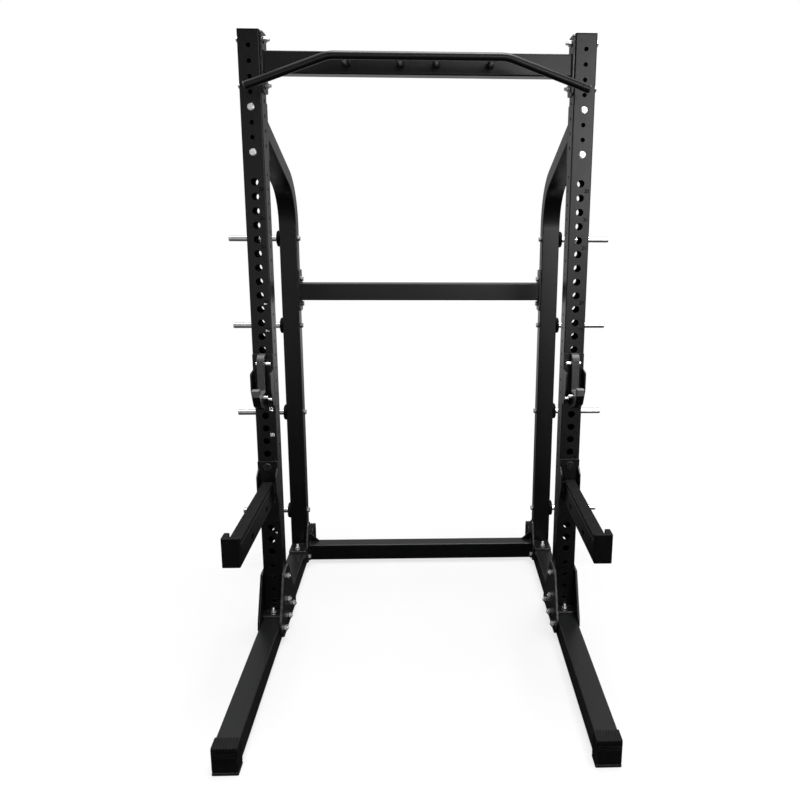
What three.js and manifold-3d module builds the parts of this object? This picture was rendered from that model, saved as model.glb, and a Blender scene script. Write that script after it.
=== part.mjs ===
// A free-standing half rack for barbell training, in millimetres, +Z up.
// +X is to the right, and the lifter comes to it from -Y. Z = 0 is the floor, and Y = 0 is halfway
// along the feet, under the centre lines of the front uprights. The places along Y below are
// measured from the front faces of the front uprights, and the finished rack is moved at the end.
// Two drilled front uprights stand on long feet. Behind them two bent rear uprights lean over and
// bolt to them, and three crossmembers and a pull-up bar tie the two sides together. J-cups and
// spotter arms plug into the drilled holes and pull straight out.

import * as THREE from 'three';
import { mergeVertices } from 'three/addons/utils/BufferGeometryUtils.js';
import Module from 'manifold-3d';

const wasm = await Module();
wasm.setup();

// Clearances
const SEAT_GAP = 0.3; // between pieces that rest on each other
const WELD = 1; // how far a welded piece runs into its neighbour
const OVERRUN = 5; // how far a cutter runs past what it cuts

// Main frame
const FRAME_WIDTH = 1148; // between the centre lines of the two sides
const POST_SIZE = 75; // square tube of the front uprights and the feet
const POST_CORNER = 5;
const WALL = 3;
const POST_TOP = 2248;
const FOOT_REACH = 726.5; // from the front uprights' centre line to either end of the feet
const FOOT_LIFT = 15; // under side of the foot tubes above the floor
const FOOT_TOP = FOOT_LIFT + POST_SIZE;
const BASE_PLATE = 8;
const BASE_TOP = FOOT_TOP + SEAT_GAP + BASE_PLATE;
const FRONT_PLATE_FRONT = -38;
const FRONT_PLATE_BACK = 113;
const POST_HALF = POST_SIZE / 2;
const POST_MIDDLE = POST_HALF; // Y of the front uprights' centre line
const SIDE_X = FRAME_WIDTH / 2;
const INNER_X = SIDE_X - POST_HALF; // inner faces of the uprights
const MEMBER_END = INNER_X - SEAT_GAP; // where a crossmember's end plate stops

// Holes of the front uprights
const PIN_HOLE_R = 13;
const PIN_PITCH = 50;
const SMALL_TOP_COUNT = 8;
const SMALL_TOP_EDGE = 48; // from the highest small hole to the top of the upright
const SMALL_TOP_FIRST = POST_TOP - SMALL_TOP_EDGE - (SMALL_TOP_COUNT - 1) * PIN_PITCH;
const SMALL_LOW_FIRST = 140;
const SMALL_LOW_COUNT = 4;
const PIN_LOWEST = 350;
const PIN_ROOM = 100; // between the highest big hole and the small holes above it
const PIN_COUNT = 1 + Math.round((SMALL_TOP_FIRST - PIN_ROOM - PIN_LOWEST) / PIN_PITCH);

// Bolts
const BOLT_R = 6;
const BOLT_PLAY = 1.4;
const BOLT_HOLE_R = BOLT_R + BOLT_PLAY;
const SMALL_PLAY = 1.75;
const SMALL_HOLE_R = BOLT_R + SMALL_PLAY; // the uprights' small holes
const BOLT_HEAD_R = 11;
const BOLT_HEAD = 8;
const BOLT_STUD = 9; // thread that stands out of a nut
const WASHER_R = 12.5;
const WASHER = 2.5;

// Rear uprights
const REAR_INSET = 226; // from the rear ends of the feet to the front faces of the rear uprights
const REAR_FRONT = POST_MIDDLE + FOOT_REACH - REAR_INSET;
const REAR_DEPTH = 60;
const REAR_MIDDLE = REAR_FRONT + REAR_DEPTH / 2;
const BEND_INNER_R = 195;
const BEND_R = BEND_INNER_R + REAR_DEPTH / 2;
const ARM_SLOPE = THREE.MathUtils.degToRad(22.4);
const ARM_PLATE = 8;
const ARM_BOLT_SKIP_COUNT = 3; // small holes between the two arm bolts and the plate's middle
const ARM_BOLT_LOW = SMALL_TOP_FIRST;
const ARM_BOLT_HIGH = ARM_BOLT_LOW + ARM_BOLT_SKIP_COUNT * PIN_PITCH;
const ARM_RISE = 11; // of the sloping arm above the middle of its plate
const ARM_Z = (ARM_BOLT_LOW + ARM_BOLT_HIGH) / 2 + ARM_RISE; // at the front upright's rear face
const ARM_PLATE_EDGE = 24; // from a bolt to the end of the plate
const REAR_PLATE_AHEAD = 72; // of the base plate, in front of the upright
const REAR_PLATE_BEHIND = 22;
const REAR_PLATE_FRONT = REAR_FRONT - REAR_PLATE_AHEAD;
const REAR_PLATE_BACK = REAR_FRONT + REAR_DEPTH + REAR_PLATE_BEHIND;
const REAR_CORNER_Z = ARM_Z - (REAR_MIDDLE - POST_SIZE) * Math.tan(ARM_SLOPE);
const BEND_START_Z = REAR_CORNER_Z - BEND_R * Math.tan((Math.PI / 2 - ARM_SLOPE) / 2);

// Top beam and its end plates
const BEAM_HEIGHT = 75;
const BEAM_DEPTH = 60;
const BEAM_CORNER = 6;
const BEAM_DROP = 98; // from the top of the uprights to the middle of the beam
const BEAM_Z = POST_TOP - BEAM_DROP;
const BEAM_FRONT = POST_SIZE - BEAM_DEPTH;
const END_PLATE = 7;
const BEAM_BOLT_REACH = 75; // above and below the middle of the beam
const BEAM_BOLT_LOW = BEAM_Z - BEAM_BOLT_REACH;
const BEAM_BOLT_HIGH = BEAM_Z + BEAM_BOLT_REACH;
const BEAM_PLATE_EDGE = 25;
const BEAM_PLATE_WIDTH = 70;
const PLATE_CORNER = 12;
const VENT_R = 10; // vent in an end plate, hidden against the upright

// Pull-up bar
const BAR_R = 13.5;
const BAR_Y = -120;
const BAR_SINK = 4.5; // below the middle of the beam
const BAR_Z = BEAM_Z - BAR_SINK;
const BAR_STRAIGHT = 290; // half length of the level middle
const BAR_END_X = 560;
const BAR_DROP = 96;
const BAR_BEND_R = 110;
const STANDOFF_R = 12;
const STANDOFF_INNER_X = 61;
const STANDOFF_OUTER_X = 245;
const WELD_RING_R = 16;
const WELD_RING = 5;
const END_CAP = 5;
const END_CAP_PLUG = 14;

// Base crossmember, its end plates and the webs on top
const BASE_PLATE_TOP = 198;
const BASE_PLATE_LOW = 20;
const BASE_PLATE_AHEAD = 43;
const BASE_PLATE_FRONT = REAR_FRONT - BASE_PLATE_AHEAD;
const BASE_PLATE_SHOULDER = 105;
const BASE_PLATE_HEAD = 34;
const BASE_PLATE_HEAD_BACK = REAR_FRONT + BASE_PLATE_HEAD;
const BASE_PLATE_REACH = 134;
const BASE_PLATE_BACK = REAR_FRONT + BASE_PLATE_REACH;
const BASE_PLATE_BACK_TOP = 60;
const BASE_PLATE_ROUND = 14;
const BASE_BOLT_Z = 45;
const BASE_BOLT_AHEAD = 23;
const BASE_BOLT_FRONT = REAR_FRONT - BASE_BOLT_AHEAD;
const BASE_BOLT_REACH = 102;
const BASE_BOLT_BACK = REAR_FRONT + BASE_BOLT_REACH;
const WEB_THICK = 6;
const WEB_BEHIND = 42;
const WEB_Y = REAR_FRONT + WEB_BEHIND;
const WEB_LENGTH = 44;
const WEB_HEIGHT = 40;

// Base gussets beside the front uprights
const GUSSET = 8;
const GUSSET_TOP = 262;
const GUSSET_LOW = 16;
const GUSSET_TOP_FRONT = -14;
const GUSSET_TOP_BACK = 72;
const GUSSET_FRONT = -92;
const GUSSET_FRONT_TOP = 100;
const GUSSET_NOSE = 66; // where the front edge turns back towards the floor
const GUSSET_HEEL = -58;
const GUSSET_BACK = 190;
const GUSSET_BACK_TOP = 44;
const GUSSET_ROUND = 16;
const GUSSET_BOLT_HIGH = 225;
const GUSSET_BOLT_LOW = 125;
const FOOT_BOLT_Z = 52;
const FOOT_BOLT_FRONT = -45;
const FOOT_BOLT_BACK = 125;

// Vertical bolts through the base plates
const FRONT_BASE_BOLT_Y = -20;
const REAR_BASE_BOLT_AHEAD = 49;
const REAR_BASE_BOLT_Y = REAR_FRONT - REAR_BASE_BOLT_AHEAD;
const BASE_STUD = 15;

// Foot caps
const CAP_WIDTH = 81;
const CAP_HEIGHT = 95;
const CAP_LENGTH = 46;
const CAP_WALL = 6;
const CAP_CORNER = 9;

// Caps on top of the front uprights
const TOP_CAP = 4;
const TOP_PLUG = 14;

// Storage pegs
const PEG_R = 12.5;
const PEG_TIP_X = 835;
const PEG_ABOVE_PLATE = 60; // from the base crossmember's end plate to the lowest peg
const PEG_BELOW_BEND = 52;
const PEG_LOWEST = BASE_PLATE_TOP + PEG_ABOVE_PLATE;
const PEG_HIGHEST = BEND_START_Z - PEG_BELOW_BEND;
const PEG_SHARES = [0, 0.379, 0.697, 1]; // of the way from the lowest peg to the highest
const PEG_HEIGHTS = PEG_SHARES.map((share) => PEG_LOWEST + share * (PEG_HIGHEST - PEG_LOWEST));
const DISC_R = 35;
const DISC = 13;

// Middle crossmember, between the third and the fourth peg
const MID_SHARE = 0.4;
const MID_Z = PEG_HEIGHTS.at(-2) + MID_SHARE * (PEG_HEIGHTS.at(-1) - PEG_HEIGHTS.at(-2));
const MID_BOLT_REACH = 55;
const MID_BOLT_LOW = MID_Z - MID_BOLT_REACH;
const MID_BOLT_HIGH = MID_Z + MID_BOLT_REACH;
const MID_PLATE_DROP = 86;
const MID_PLATE_RISE = 96;
const MID_PLATE_WIDTH = 58;

// J-cups, with heights above the hole that holds their pin
const CUP_HOLE_NUMBER = 15; // counted from the lowest big hole, which is 1
const CUP_TOP = 87;
const CUP_LOW = -107;
const CUP_WEB = 5;
const CUP_CHEEK = 5;
const CHEEK_START = 28;
const CHEEK_HIGH = 22;
const CHEEK_REACH = 50;
const CHEEK_LOW = -45;
const CHEEK_TOE = 22;
const HOOK_WIDTH = 27;
const HOOK_REACH = 34;
const HOOK_TOP = 79;
const HOOK_FLOOR = -55;
const HOOK_NOSE = 125;
const HOOK_NOSE_WALL = 8;
const HOOK_NOSE_TOP = -27;
const HOOK_NOSE_LOW = -48;
const HOOK_BELLY = 108;
const HOOK_BELLY_Z = -85;
const HOOK_HEEL = 50;
const HOOK_HEEL_Z = -112;
const LINER = 8;
const LINER_WIDTH = 26;
const LIP_BLOCK_LOW = -43;
const CUP_UPPER_BOLT_Z = 52;
const CUP_UPPER_BOLT_Y = 20;
const CUP_UPPER_BOLT_OUTER = 8; // past the hook's side, away from the rack's middle
const CUP_UPPER_BOLT_INNER = 18;
const CUP_LOWER_BOLT_Z = -63;
const CUP_LOWER_BOLT_Y = 62;
const CUP_LOWER_BOLT_OUTER = 3;
const CUP_LOWER_BOLT_INNER = 14;
const CUP_ROD_Z = -76;
const CUP_ROD_Y = 40;
const CUP_ROD_R = 6;
const CUP_BOLT_R = 7;
const PIN_LENGTH = 70;

// Spotter arms, with heights above the hole that holds their upper pin
const ARM_UPPER_HOLE_NUMBER = 8;
const ARM_LOWER_HOLE_NUMBER = 4;
const BRACKET = 6;
const BRACKET_TOP = 23;
const BRACKET_LOW = -220;
const BOSS_R = 16.5;
const BOSS = 7;
const SPOTTER_WIDTH = 40;
const SPOTTER_HEIGHT = 75;
const SPOTTER_CORNER = 5;
const SPOTTER_TOP = -69;
const SPOTTER_REACH = 470;
const EAR = 5;
const EAR_TOP = -6;
const EAR_HIGH = -28;
const EAR_LOW = -88;
const EAR_REACH = 36;
const EAR_TOE = -160;
const STRIP = 12;
const STRIP_START = 13;
const SLOT_WIDTH = 5;
const SLOT_HEIGHT = 18;
const SLOT_Z = -114;
const SLOT_PLACES = [129, 333];
const BLOCK = 16;
const BLOCK_WING = 26; // along the arm's outer side
const BLOCK_WING_THICK = 18;
const BLOCK_TOP = -44;
const BLOCK_LOW = -143;
const BLOCK_CORNER = 7;

// Numbers of sides and steps
const ROUND_SIDES = 12;
const HEX_SIDES = 6;
const HOLE_SIDES = 8;
const CORNER_STEPS = 2;
const BEND_STEPS = 7;
const BAR_BEND_STEPS = 3;
const EDGE_SHARE = 0.48; // the most of an edge that one rounded corner takes

// The pins clear the flats of the many-sided holes
const PIN_R = PIN_HOLE_R * Math.cos(Math.PI / HOLE_SIDES) - SEAT_GAP;

const X_AXIS = new THREE.Vector3(1, 0, 0);
const Y_AXIS = new THREE.Vector3(0, 1, 0);

function paint(color, roughness, metalness) {
  return new THREE.MeshStandardMaterial({ color, roughness, metalness });
}

const BLACK_PAINT = paint(0x17181a, 0.5, 0.3);
const ZINC = paint(0xb9bcc0, 0.35, 0.9);
const CHROME = paint(0xd4d6d8, 0.15, 1);
const BLACK_PLASTIC = paint(0x131313, 0.6, 0);
const GREY_PLASTIC = paint(0x3a3c3e, 0.55, 0);
const GREY_RUBBER = paint(0x2a2a2b, 0.8, 0);

// A closed geometry as a solid that can be joined and cut
function solid(geometry) {
  geometry.deleteAttribute('normal');
  geometry.deleteAttribute('uv');
  const merged = mergeVertices(geometry);
  const vertProperties = merged.attributes.position.array;
  const triVerts = Uint32Array.from(merged.index.array);
  return new wasm.Manifold(new wasm.Mesh({ numProp: 3, vertProperties, triVerts }));
}

// A finished solid as a named mesh
function named(name, shape, material) {
  const result = shape.getMesh();
  const geometry = new THREE.BufferGeometry();
  geometry.setAttribute('position', new THREE.BufferAttribute(result.vertProperties, 3));
  geometry.setIndex(new THREE.BufferAttribute(result.triVerts, 1));
  geometry.computeVertexNormals();
  const mesh = new THREE.Mesh(geometry, material);
  mesh.name = name;
  return mesh;
}

function box(low, high) {
  const size = high.map((value, i) => value - low[i]);
  const middle = high.map((value, i) => (value + low[i]) / 2);
  return solid(new THREE.BoxGeometry(...size).translate(...middle));
}

// A round bar between two points that differ along one axis
function rod(start, end, radius, sides = HOLE_SIDES) {
  const from = new THREE.Vector3(...start);
  const way = new THREE.Vector3(...end).sub(from);
  const geometry = new THREE.CylinderGeometry(radius, radius, way.length(), sides);
  const turn = new THREE.Quaternion().setFromUnitVectors(Y_AXIS, way.clone().normalize());
  geometry.applyQuaternion(turn);
  geometry.translate(...from.addScaledVector(way, 1 / 2).toArray());
  return solid(geometry);
}

function join(...shapes) {
  return shapes.reduce((sum, shape) => sum.add(shape));
}

function cut(shape, ...cutters) {
  return cutters.reduce((rest, cutter) => rest.subtract(cutter), shape);
}

// An outline through corner points, each rounded off by its own radius, which is kept
// under half of the shorter edge beside it
function outline(corners) {
  const shape = new THREE.Shape();
  corners.forEach(([x, y, radius = 0], i) => {
    const corner = new THREE.Vector2(x, y);
    const before = new THREE.Vector2(...corners.at(i - 1)).sub(corner);
    const after = new THREE.Vector2(...corners[(i + 1) % corners.length]).sub(corner);
    const reach = Math.min(radius, EDGE_SHARE * before.length(), EDGE_SHARE * after.length());
    const start = corner.clone().addScaledVector(before.normalize(), reach);
    const end = corner.clone().addScaledVector(after.normalize(), reach);
    if (i === 0) shape.moveTo(start.x, start.y);
    else shape.lineTo(start.x, start.y);
    if (reach > 0) shape.quadraticCurveTo(x, y, end.x, end.y);
  });
  shape.closePath();
  return shape;
}

function roundedRectangle(width, height, radius) {
  const x = width / 2;
  const y = height / 2;
  return outline([[x, -y, radius], [x, y, radius], [-x, y, radius], [-x, -y, radius]]);
}

function extruded(shape, depth) {
  return new THREE.ExtrudeGeometry(shape, { depth, bevelEnabled: false, curveSegments: CORNER_STEPS + 1 });
}

// A plate with an outline in Y and Z, between two places along X
function sidePlate(corners, xStart, xEnd) {
  const low = Math.min(xStart, xEnd);
  const geometry = extruded(outline(corners), Math.abs(xEnd - xStart));
  const turn = new THREE.Matrix4().set(0, 0, 1, low, 1, 0, 0, 0, 0, 1, 0, 0, 0, 0, 0, 1);
  return solid(geometry.applyMatrix4(turn));
}

// A plate with an outline in X and Z, from yStart away from the lifter
function facePlate(corners, yStart, depth) {
  const geometry = extruded(outline(corners), depth).rotateX(Math.PI / 2);
  return solid(geometry.translate(0, yStart + depth, 0));
}

// A path with each inner corner drawn as an arc
function bentPath(corners, radius, steps) {
  const points = [corners[0]];
  for (let i = 1; i < corners.length - 1; i += 1) {
    const into = corners[i].clone().sub(corners[i - 1]).normalize();
    const out = corners[i + 1].clone().sub(corners[i]).normalize();
    const angle = into.angleTo(out);
    const side = out.clone().addScaledVector(into, -Math.cos(angle)).normalize();
    const start = corners[i].clone().addScaledVector(into, -radius * Math.tan(angle / 2));
    for (let step = 0; step <= steps; step += 1) {
      const turned = (angle * step) / steps;
      const point = start.clone().addScaledVector(into, radius * Math.sin(turned));
      points.push(point.addScaledVector(side, radius * (1 - Math.cos(turned))));
    }
  }
  points.push(corners.at(-1));
  return points;
}

// A section carried along a flat path. `square` is the direction square to the path's plane.
function sweep(section, path, square) {
  const ring = section.getPoints(CORNER_STEPS);
  if (ring[0].distanceTo(ring.at(-1)) < Number.EPSILON) ring.pop();
  const positions = [];
  path.forEach((point, i) => {
    const into = point.clone().sub(path[Math.max(i - 1, 0)]).normalize();
    const out = path[Math.min(i + 1, path.length - 1)].clone().sub(point).normalize();
    const along = into.clone().add(out).normalize();
    const stretch = 1 / along.dot(i === 0 ? out : into);
    const across = along.clone().cross(square).multiplyScalar(stretch);
    const place = new THREE.Matrix4().makeBasis(square, across, along).setPosition(point);
    ring.forEach((p) => positions.push(...new THREE.Vector3(p.x, p.y, 0).applyMatrix4(place)));
  });
  const count = ring.length;
  const last = (path.length - 1) * count;
  const faces = [];
  for (let i = 0; i < path.length - 1; i += 1) {
    for (let k = 0; k < count; k += 1) {
      const a = i * count + k;
      const b = i * count + ((k + 1) % count);
      faces.push(a, b, b + count, a, b + count, a + count);
    }
  }
  THREE.ShapeUtils.triangulateShape(ring, []).forEach(([a, b, c]) => {
    faces.push(c, b, a, a + last, b + last, c + last);
  });
  const geometry = new THREE.BufferGeometry();
  geometry.setAttribute('position', new THREE.BufferAttribute(new Float32Array(positions), 3));
  geometry.setIndex(faces);
  return solid(geometry);
}

// The same path, run on past both ends, so that a bore cuts right through
function lengthened(path, extra) {
  const first = path[0].clone().sub(path[1]).setLength(extra).add(path[0]);
  const last = path.at(-1).clone().sub(path.at(-2)).setLength(extra).add(path.at(-1));
  return [first, ...path.slice(1, -1), last];
}

// A hollow tube along a flat path
function tube(width, height, corner, path, square) {
  const outside = sweep(roundedRectangle(width, height, corner), path, square);
  const bore = roundedRectangle(width - 2 * WALL, height - 2 * WALL, 0);
  return cut(outside, sweep(bore, lengthened(path, OVERRUN), square));
}

function point(x, y, z) {
  return new THREE.Vector3(x, y, z);
}

// A bolt along one axis: head and washer at one end, washer, nut and thread end at the other.
// `clamp` is the pair of places along the axis that it squeezes; `at` turns a place into a point.
function bolt(at, clamp, stud = BOLT_STUD) {
  const [start, end] = clamp;
  const way = Math.sign(end - start);
  const headSeat = start - way * SEAT_GAP;
  const nutSeat = end + way * SEAT_GAP;
  const headFace = headSeat - way * WASHER;
  const nutFace = nutSeat + way * WASHER;
  return join(
    rod(at(headFace), at(headSeat), WASHER_R),
    rod(at(headFace - way * BOLT_HEAD), at(headFace), BOLT_HEAD_R, HEX_SIDES),
    rod(at(headFace - way * WELD), at(nutFace + way * (BOLT_HEAD + stud)), BOLT_R, HEX_SIDES),
    rod(at(nutSeat), at(nutFace), WASHER_R),
    rod(at(nutFace), at(nutFace + way * BOLT_HEAD), BOLT_HEAD_R, HEX_SIDES),
  );
}

function holeAcross(y, z, radius, half = POST_HALF) {
  return rod([-half - OVERRUN, y, z], [half + OVERRUN, y, z], radius, HEX_SIDES);
}

function holeThrough(z, radius, sides, far = POST_SIZE) {
  return rod([0, -OVERRUN, z], [0, far + OVERRUN, z], radius, sides);
}

function holeDown(y, low) {
  return rod([0, y, low], [0, y, BASE_TOP + OVERRUN], BOLT_HOLE_R, HEX_SIDES);
}

function row(first, count) {
  return Array.from({ length: count }, (_, i) => first + i * PIN_PITCH);
}

// Height of a big hole, counted up from the lowest one
function holeHeight(number) {
  return PIN_LOWEST + (number - 1) * PIN_PITCH;
}

// Everything below, down to the crossmembers, is built about the centre line of one side,
// where `out` is +1 on the right and -1 on the left, so that `out` times x points outwards.

function frontUpright() {
  const path = [point(0, POST_MIDDLE, BASE_TOP - WELD), point(0, POST_MIDDLE, POST_TOP)];
  const plateLow = [-POST_HALF, FRONT_PLATE_FRONT, BASE_TOP - BASE_PLATE];
  const plate = box(plateLow, [POST_HALF, FRONT_PLATE_BACK, BASE_TOP]);
  const body = join(tube(POST_SIZE, POST_SIZE, POST_CORNER, path, X_AXIS), plate);
  const pins = row(PIN_LOWEST, PIN_COUNT).map((z) => holeThrough(z, PIN_HOLE_R, HOLE_SIDES));
  const small = [...row(SMALL_TOP_FIRST, SMALL_TOP_COUNT), ...row(SMALL_LOW_FIRST, SMALL_LOW_COUNT)];
  const smallHoles = small.map((z) => holeThrough(z, SMALL_HOLE_R, HEX_SIDES));
  const sideHeights = [BEAM_BOLT_LOW, BEAM_BOLT_HIGH, GUSSET_BOLT_LOW, GUSSET_BOLT_HIGH];
  const sideHoles = sideHeights.map((z) => holeAcross(POST_MIDDLE, z, BOLT_HOLE_R));
  const baseHole = holeDown(FRONT_BASE_BOLT_Y, FOOT_TOP);
  return cut(body, ...pins, ...smallHoles, ...sideHoles, baseHole);
}

function uprightCap() {
  const seat = POST_TOP + SEAT_GAP;
  const plug = POST_SIZE - 2 * (WALL + SEAT_GAP);
  const line = (low, high) => [point(0, POST_MIDDLE, low), point(0, POST_MIDDLE, high)];
  const lidShape = roundedRectangle(POST_SIZE, POST_SIZE, POST_CORNER);
  const lid = sweep(lidShape, line(seat, seat + TOP_CAP), X_AXIS);
  const plugShape = roundedRectangle(plug, plug, POST_CORNER - WALL);
  return join(lid, sweep(plugShape, line(seat - TOP_PLUG, seat + WELD), X_AXIS));
}

function foot() {
  const half = FOOT_REACH - CAP_WALL - SEAT_GAP;
  const middle = FOOT_LIFT + POST_HALF;
  const path = [point(0, POST_MIDDLE - half, middle), point(0, POST_MIDDLE + half, middle)];
  const across = (z) => (y) => holeAcross(y, z, BOLT_HOLE_R);
  const sides = [FOOT_BOLT_FRONT, POST_MIDDLE, FOOT_BOLT_BACK].map(across(FOOT_BOLT_Z));
  const ends = [BASE_BOLT_FRONT, BASE_BOLT_BACK].map(across(BASE_BOLT_Z));
  const down = [FRONT_BASE_BOLT_Y, REAR_BASE_BOLT_Y].map((y) => holeDown(y, 0));
  return cut(tube(POST_SIZE, POST_SIZE, POST_CORNER, path, X_AXIS), ...sides, ...ends, ...down);
}

// A plastic shoe over the end of a foot; `end` is -1 at the front and +1 at the back
function footCap(end) {
  const face = POST_MIDDLE + end * FOOT_REACH;
  const mouth = face - end * CAP_LENGTH;
  const line = (z, from, to) => [point(0, Math.min(from, to), z), point(0, Math.max(from, to), z)];
  const outside = roundedRectangle(CAP_WIDTH, CAP_HEIGHT, CAP_CORNER);
  const shell = sweep(outside, line(CAP_HEIGHT / 2, face, mouth), X_AXIS);
  const pocketSize = POST_SIZE + 2 * SEAT_GAP;
  const pocket = roundedRectangle(pocketSize, pocketSize, POST_CORNER);
  const wall = face - end * CAP_WALL;
  const past = mouth - end * OVERRUN;
  return cut(shell, sweep(pocket, line(FOOT_LIFT + POST_HALF, wall, past), X_AXIS));
}

function rearUpright() {
  const plateFace = POST_SIZE + SEAT_GAP + ARM_PLATE;
  const corners = [
    point(0, REAR_MIDDLE, BASE_TOP - WELD),
    point(0, REAR_MIDDLE, REAR_CORNER_Z),
    point(0, POST_SIZE, ARM_Z),
  ];
  const path = bentPath(corners, BEND_R, BEND_STEPS);
  const trim = box([-POST_SIZE, 0, ARM_Z - POST_SIZE], [POST_SIZE, plateFace - WELD, ARM_Z + POST_SIZE]);
  const arm = cut(tube(POST_SIZE, REAR_DEPTH, POST_CORNER, path, X_AXIS), trim);
  const low = ARM_BOLT_LOW - ARM_PLATE_EDGE;
  const high = ARM_BOLT_HIGH + ARM_PLATE_EDGE;
  const armPlate = box([-POST_HALF, POST_SIZE + SEAT_GAP, low], [POST_HALF, plateFace, high]);
  const basePlateLow = [-POST_HALF, REAR_PLATE_FRONT, BASE_TOP - BASE_PLATE];
  const basePlate = box(basePlateLow, [POST_HALF, REAR_PLATE_BACK, BASE_TOP]);
  const armHoles = [ARM_BOLT_LOW, ARM_BOLT_HIGH].map((z) => {
    return holeThrough(z, BOLT_HOLE_R, HEX_SIDES, plateFace);
  });
  const baseHole = holeDown(REAR_BASE_BOLT_Y, FOOT_TOP);
  const pegHoles = PEG_HEIGHTS.map((z) => holeAcross(REAR_MIDDLE, z, BOLT_HOLE_R));
  return cut(join(arm, armPlate, basePlate), ...armHoles, baseHole, ...pegHoles);
}

// The holes that the middle crossmember's bolts use, on the inner side only
function innerBoltHoles(out) {
  return [MID_BOLT_LOW, MID_BOLT_HIGH].map((z) => {
    return rod([0, REAR_MIDDLE, z], [-out * (POST_HALF + OVERRUN), REAR_MIDDLE, z], BOLT_HOLE_R);
  });
}

const GUSSET_OUTLINE = [
  [GUSSET_TOP_FRONT, GUSSET_TOP],
  [GUSSET_FRONT, GUSSET_FRONT_TOP, GUSSET_ROUND],
  [GUSSET_FRONT, GUSSET_NOSE, GUSSET_ROUND],
  [GUSSET_HEEL, GUSSET_LOW, GUSSET_ROUND],
  [GUSSET_BACK, GUSSET_LOW, GUSSET_ROUND],
  [GUSSET_BACK, GUSSET_BACK_TOP, GUSSET_ROUND],
  [GUSSET_TOP_BACK, GUSSET_TOP, GUSSET_ROUND],
];

const GUSSET_BOLTS = [
  [POST_MIDDLE, GUSSET_BOLT_HIGH],
  [POST_MIDDLE, GUSSET_BOLT_LOW],
  [FOOT_BOLT_FRONT, FOOT_BOLT_Z],
  [POST_MIDDLE, FOOT_BOLT_Z],
  [FOOT_BOLT_BACK, FOOT_BOLT_Z],
];

function innerGusset(out) {
  const near = -out * (POST_HALF + SEAT_GAP);
  const plate = sidePlate(GUSSET_OUTLINE, near, near - out * GUSSET);
  return cut(plate, ...GUSSET_BOLTS.map(([y, z]) => holeAcross(y, z, BOLT_HOLE_R, POST_SIZE)));
}

// The outer gusset carries the five bolts that clamp both gussets
function outerGusset(out) {
  const near = out * (POST_HALF + SEAT_GAP);
  const face = near + out * GUSSET;
  const bolts = GUSSET_BOLTS.map(([y, z]) => bolt((x) => [x, y, z], [face - out * 2 * SEAT_GAP, -face]));
  return join(sidePlate(GUSSET_OUTLINE, near, face), ...bolts);
}

function baseBolt(y) {
  return bolt((z) => [0, y, z], [FOOT_LIFT, BASE_TOP], BASE_STUD);
}

function armBolt(z) {
  return bolt((y) => [0, y, z], [0, POST_SIZE + SEAT_GAP + ARM_PLATE]);
}

function beamBolt(out, z) {
  return bolt((x) => [x, POST_MIDDLE, z], [out * POST_HALF, -out * (POST_HALF + SEAT_GAP + END_PLATE)]);
}

// A chrome peg whose stud runs through the rear upright to a head on the inner side
function storagePeg(out, z) {
  const at = (x) => [out * x, REAR_MIDDLE, z];
  const shoulder = POST_HALF + SEAT_GAP;
  const headFace = -shoulder - WASHER;
  return join(
    rod(at(shoulder), at(PEG_TIP_X - SIDE_X), PEG_R, ROUND_SIDES),
    rod(at(headFace), at(shoulder + WELD), BOLT_R, HEX_SIDES),
    rod(at(headFace), at(-shoulder), WASHER_R),
    rod(at(headFace - BOLT_HEAD), at(headFace), BOLT_HEAD_R, HEX_SIDES),
  );
}

function pegDisc(out, z) {
  const at = (x) => [out * x, REAR_MIDDLE, z];
  const near = POST_HALF + SEAT_GAP;
  const disc = rod(at(near), at(near + DISC), DISC_R, ROUND_SIDES);
  return cut(disc, rod(at(near - OVERRUN), at(near + DISC + OVERRUN), PEG_R + SEAT_GAP, ROUND_SIDES));
}

// J-cup: outlines are in Y and Z, with the pin's hole at Z = 0
const CUP_BACK = -SEAT_GAP;
const CUP_FRONT = CUP_BACK - CUP_WEB;

const CHEEK_OUTLINE = [
  [CUP_FRONT + WELD, CHEEK_START],
  [-CHEEK_REACH, CHEEK_HIGH, CUP_WEB],
  [-CHEEK_REACH, CHEEK_LOW, CUP_WEB],
  [-CHEEK_TOE, CUP_LOW],
  [CUP_FRONT + WELD, CUP_LOW],
];

const HOOK_OUTLINE = [
  [CUP_FRONT + WELD, HOOK_TOP],
  [-HOOK_REACH + LINER, HOOK_TOP],
  [-HOOK_REACH, HOOK_TOP - LINER],
  [-HOOK_REACH, HOOK_FLOOR, LINER],
  [HOOK_NOSE_WALL - HOOK_NOSE, HOOK_FLOOR, LINER],
  [HOOK_NOSE_WALL - HOOK_NOSE, HOOK_NOSE_TOP],
  [-HOOK_NOSE, HOOK_NOSE_TOP],
  [-HOOK_NOSE, HOOK_NOSE_LOW],
  [-HOOK_BELLY, HOOK_BELLY_Z, LINER],
  [-HOOK_HEEL, HOOK_HEEL_Z, LINER],
  [CUP_FRONT + WELD, CUP_LOW],
];

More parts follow.
